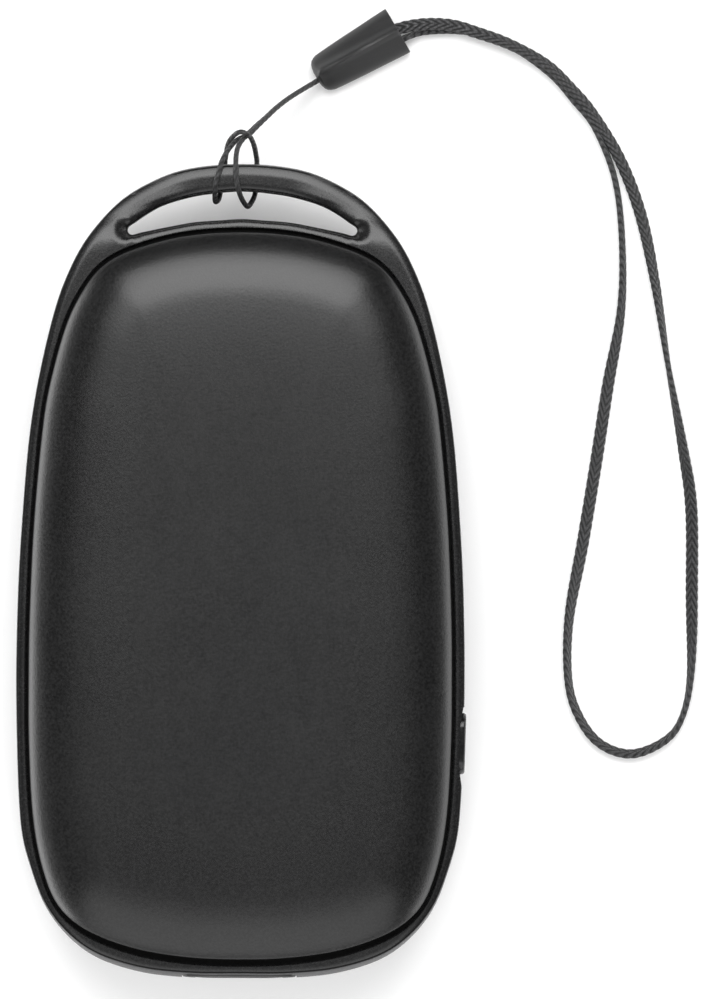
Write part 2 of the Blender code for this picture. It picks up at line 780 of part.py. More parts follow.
def circuit_board(finish):
    # an L in plan: the chin between the port walls, the field below the cells, the arm to the switch
    chin = board_chin_half_width
    shoulder = board_bottom + board_chin_length
    arm_end = button_y + board_arm_end
    arm_start = pipe_y() - board_arm_taper
    root = arm_start - board_arm_taper
    points = [(-chin, board_bottom), (chin, board_bottom), (board_half_width, shoulder),
              (board_half_width, root), (switch_face_x(), arm_start), (switch_face_x(), arm_end),
              (board_arm_x, arm_end), (board_arm_x, board_top), (-board_half_width, board_top),
              (-board_half_width, shoulder)]
    outline = [Vector(point) for point in points]
    made = loft("main_circuit_board", [level_ring(outline, board_bottom_level),
                                       level_ring(outline, board_top_level)], finish)
    for x, y in board_boss_places():
        cut(made, bore(x, y, board_bottom_level - overrun, board_top_level + overrun,
                       screw_diameter + 2 * clearance))
    return made


def on_board(name, x, y, length, depth, height, finish):
    z = mid_z + board_top_level + clearance
    made = block(name, (x - length / 2, y - depth / 2, z), (x + length / 2, y + depth / 2, z + height),
                 finish)
    return placed(made, (x, y, z))


def inductor(finish):
    x = board_half_width * chip_x_share
    y = board_bottom + board_length * (1 - chip_y_share)
    z = mid_z + board_top_level + clearance
    half = inductor_edge / 2
    drum = circle(half, round_steps)
    waist = circle(half * inductor_core_share, round_steps)
    step = inductor_height / 4
    made = loft("boost_inductor", [along_z(drum, z, x, y), along_z(drum, z + step, x, y),
                                   along_z(waist, z + step, x, y), along_z(waist, z + 3 * step, x, y),
                                   along_z(drum, z + 3 * step, x, y), along_z(drum, z + 4 * step, x, y)],
                finish)
    return placed(smooth_shaded(made, 40), (x, y, z))


def cradle(finish):
    made = block("cell_cradle", (-cradle_half_width, cradle_bottom, mid_z - cradle_depth),
                 (cradle_half_width, cradle_top, mid_z + cradle_rise), finish)
    for x, y in cradle_tab_places():
        reach = cradle_half_width + cradle_tab_reach
        low = min(math.copysign(cradle_half_width - embed, x), math.copysign(reach, x))
        high = max(math.copysign(cradle_half_width - embed, x), math.copysign(reach, x))
        top = mid_z + cradle_tab_level
        join(made, block("tab", (low, y - cradle_tab_width / 2, top - cradle_tab_thickness),
                         (high, y + cradle_tab_width / 2, top)))
        cut(made, bore(x, y, cradle_tab_level - cradle_tab_thickness - overrun, cradle_tab_level + overrun,
                       screw_diameter + 2 * clearance))
    half = cell_length / 2 + cradle_end_gap
    for side in (-1, 1):
        trough = circle(bore_radius, 2 * round_steps)
        cut(made, loft("trough", [along_y(trough, y, side * cell_x, mid_z)
                                  for y in (cell_y - half, cell_y + half)]))
    slot_half = cell_tab_width / 2 + clearance
    cut(made, block("slot", (-slot_half, cell_y - half, mid_z - cell_tab_depth - clearance),
                    (slot_half, cell_y - cell_length / 2, mid_z + cradle_rise + overrun)),
        block("slot", (-slot_half, cell_y + cell_length / 2, mid_z - cell_tab_depth - clearance),
              (slot_half, cell_y + half, mid_z + cradle_rise + overrun)))
    return smooth_shaded(placed(made, (0, cell_y, mid_z)), 40)


def cell(name, side, finish):
    # a can with a rolled shoulder and a button contact
    top = cell_length / 2
    contact = cell_button_diameter / 2
    profile = ((-top, cell_radius - cell_crimp), (-top + cell_crimp, cell_radius),
               (top - 3 * cell_crimp, cell_radius), (top - 2 * cell_crimp, cell_radius - cell_crimp / 2),
               (top - cell_crimp, cell_radius), (top - cell_crimp / 2, cell_radius - cell_crimp),
               (top - cell_crimp / 2, contact), (top, contact))
    rings = [along_y(circle(radius, 2 * round_steps), y, 0, 0) for y, radius in profile]
    made = smooth_shaded(loft(name, rings, finish), 40)
    made.location = (side * cell_x, cell_y, mid_z)
    return made


def cell_tab(name, side, finish):
    inner = cell_y + side * (cell_length / 2 + clearance)
    outer = inner + side * cell_tab_thickness
    half = cell_tab_width / 2
    made = block(name, (-half, min(inner, outer), mid_z - cell_tab_depth),
                 (half, max(inner, outer), mid_z + cell_tab_rise), finish)
    return placed(made, (0, inner, mid_z))


def pad(name, side, near_level, thickness, half_width, top_margin, finish):
    outline = rounded_box(half_width, (cradle_length - foam_margin - top_margin) / 2, 2 * foam_margin)
    levels = (near_level, near_level + thickness)
    made = loft(name, [along_z(outline, side * level, 0, 0) for level in levels], finish)
    made.location = (0, cell_y - (top_margin - foam_margin) / 2, mid_z)
    return made


def screw(name, x, y, seat_level, finish):
    # origin under the head, which sits just above its seat
    z = mid_z + seat_level + clearance
    head = circle(screw_head_diameter / 2, small_round_steps)
    crown = circle(screw_head_diameter / 2 - screw_head_height / 3, small_round_steps)
    shank = circle(screw_diameter / 2, small_round_steps)
    point = circle(screw_diameter / 4, small_round_steps)
    tip = -screw_length + screw_diameter / 2
    made = loft(name, [along_z(point, -screw_length, 0, 0), along_z(shank, tip, 0, 0),
                       along_z(shank, 0, 0, 0), along_z(head, 0, 0, 0),
                       along_z(head, screw_head_height * 2 / 3, 0, 0),
                       along_z(crown, screw_head_height, 0, 0)], finish)
    made.location = (x, y, z)
    return smooth_shaded(made, 40)


def button_wall_x():
    # the frame's inner wall, where it stands furthest in behind the button's flange
    half = button_length / 2 + button_lip
    return min(half_width_at(inner_outline, button_y + offset) for offset in (-half, 0, half))


def power_button(finish):
    # a pill through the flank with a retaining flange behind the wall and a stem for the switch
    face_x = half_width_at(case_outline, button_y) + button_proud
    flange_front = button_wall_x() - clearance
    flange_back = flange_front - button_flange
    body = pill(button_length / 2, button_height / 2, round_steps)
    face = pill(button_length / 2 - button_edge, button_height / 2 - button_edge, round_steps)
    flange = pill(button_length / 2 + button_lip, button_height / 2 + button_lip, round_steps)
    above = half_width_at(case_outline, button_y + button_length / 2)
    below = half_width_at(case_outline, button_y - button_length / 2)
    lean = (above - below) / button_length
    made = loft("power_button", [
        along_x(flange, flange_back, button_y, mid_z), along_x(flange, flange_front, button_y, mid_z),
        along_x(body, flange_front, button_y, mid_z),
        along_x(body, face_x - button_edge, button_y, mid_z, lean),
        along_x(face, face_x, button_y, mid_z, lean)], finish)
    stem = circle(button_stem_diameter / 2, small_round_steps)
    join(made, loft("stem", [along_x(stem, x, button_y, mid_z + switch_level)
                             for x in (plunger_tip_x() + clearance, flange_back + embed)]))
    return placed(smooth_shaded(made, 40), (face_x, button_y, mid_z))


def plunger_tip_x():
    # the stem ends just short of the plunger, and the switch and the board's arm stand behind that
    return button_wall_x() - clearance - button_flange - button_stem_length - clearance


def switch_face_x():
    return plunger_tip_x() - plunger_proud


def tact_switch(body_finish, plunger_finish):
    face = switch_face_x()
    z = mid_z + switch_level
    low = (face - switch_depth, button_y - switch_length / 2, z - switch_height / 2)
    high = (face, button_y + switch_length / 2, z + switch_height / 2)
    body = block("tact_switch_body", low, high, body_finish)
    root = face - plunger_root
    well = circle(plunger_diameter / 2 + clearance, small_round_steps)
    cut(body, loft("well", [along_x(well, x, button_y, z)
                            for x in (root - button_travel - clearance, face + overrun)]))
    placed(body, (face, button_y, z))
    rod = circle(plunger_diameter / 2, small_round_steps)
    plunger = loft("tact_switch_plunger", [along_x(rod, x, button_y, z) for x in (root, plunger_tip_x())],
                   plunger_finish)
    placed(smooth_shaded(plunger, 40), (plunger_tip_x(), button_y, z))


def light_pipe(finish):
    # a clear rod that ends flush in the thumb scoop
    radius = (scoop_length ** 2 / 4 + scoop_depth ** 2) / (2 * scoop_depth)
    offset = pipe_y() - (button_y + scoop_offset)
    depth = math.sqrt(radius ** 2 - offset ** 2) - (radius - scoop_depth)
    outer = half_width_at(case_outline, button_y + scoop_offset) - max(depth, 0.0)
    inner = switch_face_x() + clearance
    rod = circle(pipe_diameter / 2, small_round_steps)
    made = loft("indicator_light_pipe", [along_x(rod, x, pipe_y(), mid_z) for x in (inner, outer)], finish)
    return placed(smooth_shaded(made, 40), (outer, pipe_y(), mid_z))


def bead(finish):
    # a tapered toggle with a ridge along its top; the cord enters its nose, the strap its broad end
    along = Vector((*bead_direction, 0)).normalized()
    across = Vector((-along.y, along.x, 0))
    start = Vector((*bead_nose, 0))
    section = [Vector(point) for point in bead_section_shares]
    section += [Vector((-point.x, point.y)) for point in reversed(section) if point.x > 0]
    rings = []
    for place, fullness, rise in bead_stations:
        wide = bead_narrow_half_width + (bead_broad_half_width - bead_narrow_half_width) * place
        half = bead_nose_half_width + (wide - bead_nose_half_width) * fullness
        middle = bead_height / 2
        low = middle * (1 - rise)
        centre = start + along * (bead_length * place)
        rings.append([centre + across * (half * point.x)
                      + Vector((0, 0, low + (bead_height * rise) * point.y)) for point in section])
    return placed(smooth_shaded(loft("lanyard_bead", rings, finish), 30), start)


def lead_routes():
    # both battery leads share the valley between the cells and end on the board; each heater has
    # its own lead round the cradle's lower end
    tab_edge = mid_z + cell_tab_rise + clearance
    upper_y = cell_y + cell_length / 2 + clearance + cell_tab_thickness / 2
    lower_y = cell_y - cell_length / 2 - clearance - cell_tab_thickness / 2
    on_top = mid_z + board_top_level + clearance
    below = mid_z + board_bottom_level - clearance
    wire = battery_lead_diameter
    valley = mid_z + cradle_rise + 2 * clearance + thermistor_diameter + wire / 2
    x = lead_spread / 2
    landing = board_top - 2 * wire
    drop = [(cradle_bottom - wire, valley - wire), (landing + wire / 4, on_top + 2 * wire), (landing, on_top)]
    positive = [(-x, upper_y, tab_edge), (-x, upper_y, tab_edge + wire / 3), (-x, upper_y - wire, valley),
                (-x, cell_y, valley), (-x, cradle_bottom + wire, valley)]
    positive += [(-x, y, z) for y, z in drop]
    negative = [(x, lower_y, tab_edge), (x, lower_y, tab_edge + wire / 3)]
    negative += [(x, y, z) for y, z in drop]
    level = cell_radius + foam_thickness + 2 * clearance + heater_thickness / 2
    edge = cell_y - (cradle_length / 2 - foam_margin) - clearance
    wire = heater_lead_diameter
    turns = [(edge, level), (edge - 2 * wire, level - wire), (edge - 4 * wire, level / 2)]
    x += wire + lead_spread / 2
    front = [(x, y, mid_z + height) for y, height in turns]
    front += [(x, edge - 4 * wire, on_top + 2 * wire), (x, edge - 4 * wire, on_top)]
    back = [(-x, y, mid_z - height) for y, height in turns]
    back += [(-x, edge - 4 * wire, below - 2 * wire), (-x, edge - 4 * wire, below)]
    return positive, negative, front, back


def build():
    cover_finish = material("satin_black_aluminium", (0.05, 0.05, 0.052), 0.42, 0.6)
    bezel_finish = material("satin_black_plastic", (0.035, 0.035, 0.037), 0.38)
    frame_finish = material("grey_black_plastic", (0.045, 0.045, 0.047), 0.35)
    button_finish = material("gloss_black_plastic", (0.02, 0.02, 0.021), 0.22)
    clear_finish = material("clear_plastic", (0.75, 0.78, 0.8), 0.15)
    led_finish = material("led_package", (0.85, 0.8, 0.55), 0.4)
    board_finish = material("circuit_board_green", (0.02, 0.12, 0.05), 0.45)
    chip_finish = material("chip_black", (0.025, 0.025, 0.027), 0.5)
    ferrite_finish = material("ferrite_grey", (0.09, 0.09, 0.1), 0.6)
    socket_finish = material("nickel_socket", (0.62, 0.62, 0.63), 0.3, 1.0)
    tongue_finish = material("socket_tongue_black", (0.02, 0.02, 0.02), 0.45)
    cradle_finish = material("cradle_white_plastic", (0.6, 0.6, 0.58), 0.5)
    cell_finish = material("cell_sleeve_blue", (0.05, 0.16, 0.32), 0.35)
    tab_finish = material("nickel_strip", (0.6, 0.59, 0.56), 0.35, 1.0)
    heater_finish = material("heater_film_amber", (0.45, 0.2, 0.04), 0.35)
    foam_finish = material("foam_grey", (0.14, 0.14, 0.15), 0.9)
    thermistor_finish = material("thermistor_glass", (0.35, 0.12, 0.05), 0.25)
    screw_finish = material("zinc_screw", (0.5, 0.5, 0.51), 0.35, 1.0)
    red_finish = material("lead_red", (0.4, 0.02, 0.02), 0.5)
    black_finish = material("lead_black", (0.02, 0.02, 0.02), 0.5)
    cord_finish = material("braided_cord_charcoal", (0.03, 0.03, 0.032), 0.85)
    bead_finish = material("bead_satin_plastic", (0.05, 0.05, 0.052), 0.45)

    cover("front_cover", 1, cover_finish)
    cover("back_cover", -1, cover_finish)
    bezel("front_bezel", 1, bezel_finish)
    bezel("back_bezel", -1, bezel_finish)
    mid_frame(frame_finish)
    port_surround(bezel_finish)
    power_button(button_finish)
    tact_switch(chip_finish, tongue_finish)
    light_pipe(clear_finish)
    on_board("indicator_led", switch_face_x() - led_depth / 2, pipe_y(), led_depth, led_length, led_height,
             led_finish)

    circuit_board(board_finish)
    socket("usb_output_shell", usb_width, usb_height, usb_depth, usb_shell, usb_corner, usb_top_level,
           socket_finish)
    tongue("usb_output_tongue", usb_tongue_width, usb_tongue_thickness, usb_tongue_setback, usb_depth,
           usb_shell, mid_z + usb_top_level - usb_height / 2 + usb_tongue_offset, tongue_finish)
    socket("charging_port_shell", charging_width, charging_height, charging_depth, charging_shell,
           charging_corner, charging_top_level, socket_finish)
    tongue("charging_port_tongue", charging_tongue_width, charging_tongue_thickness,
           charging_tongue_setback, charging_depth, charging_shell,
           mid_z + charging_top_level - charging_height / 2, tongue_finish)
    on_board("controller_chip", -board_half_width * chip_x_share,
             board_bottom + board_length * (1 - chip_y_share), chip_edge, chip_edge, chip_thickness,
             chip_finish)
    on_board("charger_chip", -board_half_width * charger_chip_x_share,
             board_top - board_length * charger_chip_y_share, chip_edge * 2 / 3, chip_edge / 2,
             chip_thickness, chip_finish)
    inductor(ferrite_finish)

    cradle(cradle_finish)
    cell("battery_cell_left", -1, cell_finish)
    cell("battery_cell_right", 1, cell_finish)
    cell_tab("upper_cell_tab", 1, tab_finish)
    cell_tab("lower_cell_tab", -1, tab_finish)
    foam_level = cell_radius + clearance
    heater_level = foam_level + foam_thickness + clearance
    pad("front_foam_pad", 1, foam_level, foam_thickness, foam_half_width, foam_margin, foam_finish)
    pad("back_foam_pad", -1, foam_level, foam_thickness, foam_half_width, foam_margin, foam_finish)
    pad("front_heater", 1, heater_level, heater_thickness, heater_half_width, heater_top_margin,
        heater_finish)
    pad("back_heater", -1, heater_level, heater_thickness, heater_half_width, heater_top_margin,
        heater_finish)

    bulb = circle(thermistor_diameter / 2, small_round_steps)
    thermistor_z = cradle_rise + clearance + thermistor_diameter / 2
    half = thermistor_length / 2
    thermistor = loft("thermistor", [along_y(bulb, y, 0, 0) for y in (-half, half)], thermistor_finish)
    thermistor.location = (0, cell_y, mid_z + thermistor_z)
    smooth_shaded(thermistor, 40)

    for i, (x, y) in enumerate(cradle_tab_places(), 1):
        screw(f"cradle_screw_{i}", x, y, cradle_tab_level, screw_finish)
    for i, (x, y) in enumerate(board_boss_places(), 1):
        screw(f"board_screw_{i}", x, y, board_top_level, screw_finish)

    positive, negative, front, back = lead_routes()
    tube("positive_lead", positive, battery_lead_diameter, red_finish, 3 * battery_lead_diameter)
    tube("negative_lead", negative, battery_lead_diameter, black_finish, battery_lead_diameter)
    tube("front_heater_lead", front, heater_lead_diameter, black_finish, 2 * heater_lead_diameter)
    tube("back_heater_lead", back, heater_lead_diameter, black_finish, 2 * heater_lead_diameter)

    tube("lanyard_cord", cord_route, cord_diameter, cord_finish, cord_point_spacing)
    bead(bead_finish)
    tube("wrist_strap", strap_route, strap_diameter, cord_finish, strap_point_spacing)


for old in list(bpy.data.objects):
    bpy.data.objects.remove(old)
build()
print("case", round(2 * case_half_width, 4), "x", round(case_length, 4), "x", round(2 * half_thickness, 4))
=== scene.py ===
import math

import bmesh
import bpy
from mathutils import Matrix, Vector, kdtree


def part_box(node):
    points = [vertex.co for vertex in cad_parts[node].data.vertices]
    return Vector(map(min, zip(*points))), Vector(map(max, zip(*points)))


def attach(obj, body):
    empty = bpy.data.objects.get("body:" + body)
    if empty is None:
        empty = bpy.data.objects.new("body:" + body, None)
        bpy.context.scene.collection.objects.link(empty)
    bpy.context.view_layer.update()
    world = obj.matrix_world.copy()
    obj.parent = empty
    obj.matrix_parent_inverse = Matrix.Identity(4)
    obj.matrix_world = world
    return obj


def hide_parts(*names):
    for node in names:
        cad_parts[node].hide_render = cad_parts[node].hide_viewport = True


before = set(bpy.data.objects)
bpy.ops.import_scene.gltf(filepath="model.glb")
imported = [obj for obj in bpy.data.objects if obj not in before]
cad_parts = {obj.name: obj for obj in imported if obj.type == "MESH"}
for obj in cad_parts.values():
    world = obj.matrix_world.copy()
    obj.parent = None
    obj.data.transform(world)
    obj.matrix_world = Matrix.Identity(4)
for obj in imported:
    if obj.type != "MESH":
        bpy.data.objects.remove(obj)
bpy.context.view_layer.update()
print("frame loaded,", len(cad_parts), "solids")


# Selecting, placing and finishing

def choose(*pieces):
    if bpy.context.object and bpy.context.object.mode != "OBJECT":
        bpy.ops.object.mode_set(mode="OBJECT")
    bpy.ops.object.select_all(action="DESELECT")
    for piece in pieces:
        piece.select_set(True)
    if pieces:
        bpy.context.view_layer.objects.active = pieces[0]


def dressed(piece, name, finish, angle=35):
    # its place goes into its mesh, and it is shaded smooth but for its edges
    choose(piece)
    bpy.ops.object.transform_apply(location=True, rotation=True, scale=True)
    bpy.ops.object.shade_smooth_by_angle(angle=math.radians(angle))
    piece.name = piece.data.name = name
    piece.data.materials.clear()
    piece.data.materials.append(finish)
    return piece


def rides(piece, body, node):
    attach(piece, body)
    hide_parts(node)


def combined(target, tool, way):
    # a boolean modifier, applied, and its tool cleared away
    choose(target)
    change = target.modifiers.new(way.lower(), "BOOLEAN")
    change.operation = way
    change.solver = "EXACT"
    change.object = tool
    bpy.ops.object.modifier_apply(modifier=change.name)
    bpy.data.objects.remove(tool)
    return target


def carve(target, *tools):
    for tool in tools:
        combined(target, tool, "DIFFERENCE")
    return target


def joined(pieces):
    choose(*pieces)
    bpy.ops.object.join()
    return bpy.context.object


def rounded(piece, width, segments=3, angle=40):
    choose(piece)
    bpy.ops.object.transform_apply(location=True, rotation=True, scale=True)
    edges = piece.modifiers.new("edges", "BEVEL")
    edges.width = width
    edges.segments = segments
    edges.limit_method = "ANGLE"
    edges.angle_limit = math.radians(angle)
    bpy.ops.object.modifier_apply(modifier=edges.name)
    return piece


def slab(low, high):
    choose()
    bpy.ops.mesh.primitive_cube_add(size=1, location=[(a + b) / 2 for a, b in zip(low, high)],
                                    scale=[b - a for a, b in zip(low, high)])
    piece = bpy.context.object
    bpy.ops.object.transform_apply(location=True, rotation=True, scale=True)
    return piece


def rod(start, end, radius, sides=32):
    choose()
    along = Vector(end) - Vector(start)
    bpy.ops.mesh.primitive_cylinder_add(vertices=sides, radius=radius, depth=along.length,
                                        location=(Vector(start) + Vector(end)) / 2,
                                        rotation=along.to_track_quat("Z", "Y").to_euler())
    bpy.ops.object.transform_apply(location=True, rotation=True, scale=True)
    return bpy.context.object


# Outlines

def between(before, start, end, after, t):
    # Catmull-Rom from start to end
    return 0.5 * (2 * start + (end - before) * t + (2 * before - 5 * start + 4 * end - after) * t * t
                  + (3 * start - before - 3 * end + after) * t * t * t)


def smoothLoop(points, steps):
    count = len(points)
    return [between(points[i - 1], points[i], points[(i + 1) % count], points[(i + 2) % count], step / steps)
            for i in range(count) for step in range(steps)]


def evenly(points, count):
    # the same closed line with evenly spaced points
    lengths = [0.0]
    for i, point in enumerate(points):
        lengths.append(lengths[-1] + (points[(i + 1) % len(points)] - point).length)
    placed = []
    k = 0
    for i in range(count):
        want = lengths[-1] * i / count
        while lengths[k + 1] < want:
            k += 1
        share = (want - lengths[k]) / (lengths[k + 1] - lengths[k])
        placed.append(points[k].lerp(points[(k + 1) % len(points)], share))
    return placed


def faired(points, passes):
    # evens out its curvature and keeps its size
    count = len(points)
    for _ in range(passes):
        for pull in (0.5, -0.52):
            points = [point + pull * ((points[i - 1] + points[(i + 1) % count]) / 2 - point)
                      for i, point in enumerate(points)]
    return points


def wholeLoop(half):
    return half + [Vector((-point.x, point.y)) for point in reversed(half) if point.x > 0]


def outlineFrom(shares, halfWidth, bottom, length, count=288, passes=12):
    half = [Vector((x * halfWidth, bottom + y * length)) for x, y in shares]
    return faired(evenly(smoothLoop(wholeLoop(half), 10), count), passes)


def normalsOf(outline):
    ahead = [outline[(i + 1) % len(outline)] - outline[i - 1] for i in range(len(outline))]
    return [Vector((way.y, -way.x)).normalized() for way in ahead]


def grown(outline, amount):
    # amount is a distance, or a function of the point and its outward direction
    return [point + normal * (amount(point, normal) if callable(amount) else amount)
            for point, normal in zip(outline, normalsOf(outline))]


def halfWidthAt(outline, y):
    widths = []
    for i, start in enumerate(outline):
        end = outline[(i + 1) % len(outline)]
        if start.x + end.x > 0 and min(start.y, end.y) <= y <= max(start.y, end.y) and start.y != end.y:
            widths.append(start.x + (end.x - start.x) * (y - start.y) / (end.y - start.y))
    return max(widths)


def roundedBox(halfWidth, halfHeight, radius, steps=8):
    points = []
    for sideX, sideY, quarter in ((1, 1, 0), (-1, 1, 1), (-1, -1, 2), (1, -1, 3)):
        for step in range(steps + 1):
            angle = math.pi / 2 * (quarter + step / steps)
            points.append(Vector((sideX * (halfWidth - radius) + radius * math.cos(angle),
                                  sideY * (halfHeight - radius) + radius * math.sin(angle))))
    return points


def pill(halfLength, radius, steps=64):
    points = []
    for i in range(steps):
        angle = 2 * math.pi * (i + 0.5) / steps - math.pi / 2
        side = 1 if math.cos(angle) > 0 else -1
        points.append(Vector((side * (halfLength - radius) + radius * math.cos(angle),
                              radius * math.sin(angle))))
    return points


def circle(radius, steps=32):
    return [Vector((radius * math.cos(2 * math.pi * i / steps), radius * math.sin(2 * math.pi * i / steps)))
            for i in range(steps)]


def formFromRings(name, rings):
    # a disc takes the first ring's outline and is extruded from ring to ring
    choose()
    bpy.ops.mesh.primitive_circle_add(vertices=len(rings[0]), radius=0.01, fill_type="NGON")
    piece = bpy.context.object
    piece.name = piece.data.name = name
    bpy.ops.object.mode_set(mode="EDIT")
    mesh = bmesh.from_edit_mesh(piece.data)
    order = mesh.verts.layers.int.new("order")
    mesh.verts.ensure_lookup_table()
    for vert in mesh.verts:
        vert[order] = vert.index
    for number, ring in enumerate(rings):
        if number:
            bpy.ops.mesh.extrude_region_move()
            mesh = bmesh.from_edit_mesh(piece.data)
            order = mesh.verts.layers.int["order"]
        for vert in mesh.verts:
            if vert.select:
                vert.co = ring[vert[order]]
        bmesh.update_edit_mesh(piece.data)
    mesh.verts.layers.int.remove(order)
    bmesh.update_edit_mesh(piece.data)
    bpy.ops.mesh.select_all(action="SELECT")
    bpy.ops.mesh.normals_make_consistent(inside=False)
    bpy.ops.object.mode_set(mode="OBJECT")
    return piece


def turnedOver(piece, name):
    # its own copy, mirrored in the case's middle plane
    choose()
    twin = piece.copy()
    twin.data = piece.data.copy()
    bpy.context.collection.objects.link(twin)
    twin.data.transform(Matrix.Translation((0, 0, 2 * case["mid"])) @ Matrix.Scale(-1, 4, (0, 0, 1)))
    twin.name = twin.data.name = name
    choose(twin)
    bpy.ops.object.mode_set(mode="EDIT")
    bpy.ops.mesh.select_all(action="SELECT")
    bpy.ops.mesh.normals_make_consistent(inside=False)
    bpy.ops.object.mode_set(mode="OBJECT")
    return twin


# Camera, floor and light

stageLook = {
    "distance": 4.0, "viewHeight": 0.14985, "centre": (0.01743, 0.010725), "roll": 0.0043,
    "nearest": 0.05, "farthest": 20, "floor": 40.0, "floorLevel": -0.00002, "floorRough": 0.9,
    "floorColour": (0.87, 0.87, 0.87), "lift": 0.12, "sky": 0.46, "glossySky": 0.08,
    "lamps": (
        # place, size across and along, watts
        ("topLamp", (0.0, 0.60, 1.0), 0.90, 0.66, 10.4),
        ("bottomLamp", (0.0, -0.87, 0.68), 1.20, 1.15, 6.8),
        ("leftLamp", (-0.95, -0.15, 0.13), 1.70, 0.26, 11.6),
        ("rightLamp", (0.95, -0.1, 0.14), 1.60, 0.28, 6.0),
        ("upperFadeLamp", (0.0, 0.28, 1.07), 0.80, 0.26, 1.6),
        ("lowerFadeLamp", (0.0, -0.30, 1.04), 0.90, 0.30, 0.42),
    ),
}


def setStage(look):
    camera = bpy.data.objects.new("camera", bpy.data.cameras.new("camera"))
    bpy.context.collection.objects.link(camera)
    camera.location = (*look["centre"], case["mid"] + look["distance"])
    camera.rotation_euler = (0, 0, look["roll"])
    camera.data.lens = camera.data.sensor_width * look["distance"] / look["viewHeight"]
    camera.data.clip_start = look["nearest"]
    camera.data.clip_end = look["farthest"]
    bpy.context.scene.camera = camera

    choose()
    bpy.ops.mesh.primitive_plane_add(size=look["floor"], location=(0, 0, look["floorLevel"]))
    floor = bpy.context.object
    floor.name = "floor"
    paper = bpy.data.materials.new("palePaper")
    paper.use_nodes = True
    tree = paper.node_tree
    shader = tree.nodes["Principled BSDF"]
    shader.inputs["Base Color"].default_value = (*look["floorColour"], 1)
    shader.inputs["Roughness"].default_value = look["floorRough"]
    shader.inputs["Specular IOR Level"].default_value = 0.0
    shader.inputs["Emission Color"].default_value = (1, 1, 1, 1)
    path = tree.nodes.new("ShaderNodeLightPath")
    seen = calc(tree, "ADD", path.outputs["Is Camera Ray"], path.outputs["Is Glossy Ray"])
    seen = calc(tree, "ADD", seen, path.outputs["Is Transmission Ray"])
    tree.links.new(calc(tree, "MULTIPLY", seen, look["lift"]), shader.inputs["Emission Strength"])
    floor.data.materials.append(paper)

    world = bpy.data.worlds.new("room")
    world.use_nodes = True
    tree = world.node_tree
    path = tree.nodes.new("ShaderNodeLightPath")
    tree.nodes["Background"].inputs["Color"].default_value = (1, 1, 1, 1)
    shine = calc(tree, "MAXIMUM", path.outputs["Is Glossy Ray"], path.outputs["Is Transmission Ray"])
    strength = spread(tree, shine, 0.0, 1.0, look["sky"], look["glossySky"])
    tree.links.new(calc(tree, "MAXIMUM", strength, path.outputs["Is Camera Ray"]),
                   tree.nodes["Background"].inputs["Strength"])
    bpy.context.scene.world = world
    for name, place, across, along, watts in look["lamps"]:
        lamp = bpy.data.objects.new(name, bpy.data.lights.new(name, "AREA"))
        bpy.context.collection.objects.link(lamp)
        lamp.data.shape = "RECTANGLE"
        lamp.data.size = across
        lamp.data.size_y = along
        lamp.data.energy = watts
        lamp.location = place
        lamp.rotation_euler = (-Vector(place)).to_track_quat("-Z", "Y").to_euler()
    bpy.context.scene.view_settings.view_transform = "Standard"


# Node helpers

def addNode(tree, kind, settings=None, values=None):
    node = tree.nodes.new(kind)
    for name, value in (settings or {}).items():
        setattr(node, name, value)
    for name, value in (values or {}).items():
        node.inputs[name].default_value = value
    return node


def calc(tree, operation, *terms):
    # one sum on sockets or plain numbers
    node = addNode(tree, "ShaderNodeMath", {"operation": operation})
    for socket, term in zip(node.inputs, terms):
        if isinstance(term, (int, float)):
            socket.default_value = term
        else:
            tree.links.new(term, socket)
    return node.outputs[0]


def blended(tree, share, first, second):
    node = addNode(tree, "ShaderNodeMix", {"data_type": "RGBA"})
    tree.links.new(share, node.inputs["Factor"])
    for socket, colour in ((node.inputs[6], first), (node.inputs[7], second)):
        if isinstance(colour, tuple):
            socket.default_value = (*colour, 1)
        else:
            tree.links.new(colour, socket)
    return node.outputs[2]


def spread(tree, value, low, high, newLow, newHigh):
    node = addNode(tree, "ShaderNodeMapRange", None, {"From Min": low, "From Max": high,
                                                      "To Min": newLow, "To Max": newHigh})
    tree.links.new(value, node.inputs["Value"])
    return node.outputs["Result"]


def newGroup(name, inputs, outputs):
    group = bpy.data.node_groups.new(name, "ShaderNodeTree")
    for label, kind, value in inputs:
        socket = group.interface.new_socket(name=label, in_out="INPUT", socket_type=kind)
        if value is not None:
            socket.default_value = value
    for label in outputs:
        group.interface.new_socket(name=label, in_out="OUTPUT", socket_type="NodeSocketFloat")
    return group, group.nodes.new("NodeGroupInput").outputs, group.nodes.new("NodeGroupOutput").inputs


def mouldedGrain():
    # the fine mottle of a blasted or spark-eroded surface
    group, given, result = newGroup("mouldedGrain", [
        ("Vector", "NodeSocketVector", None), ("Size", "NodeSocketFloat", 2500.0)], ["Shade", "Height"])
    cloud = addNode(group, "ShaderNodeTexNoise", None, {"Detail": 2.0, "Roughness": 0.55})
    pits = addNode(group, "ShaderNodeTexVoronoi")
    coarse = addNode(group, "ShaderNodeTexNoise", None, {"Detail": 3.0, "Roughness": 0.6})
    for node, share in ((cloud, 1.0), (pits, 0.8), (coarse, 0.75)):
        group.links.new(given["Vector"], node.inputs["Vector"])
        group.links.new(calc(group, "MULTIPLY", given["Size"], share), node.inputs["Scale"])
    group.links.new(calc(group, "ADD", calc(group, "MULTIPLY", cloud.outputs[0], 0.65),
                         calc(group, "MULTIPLY", pits.outputs["Distance"], 0.35)), result["Height"])
    group.links.new(spread(group, coarse.outputs[0], 0.35, 0.65, 0.0, 1.0), result["Shade"])
    return group


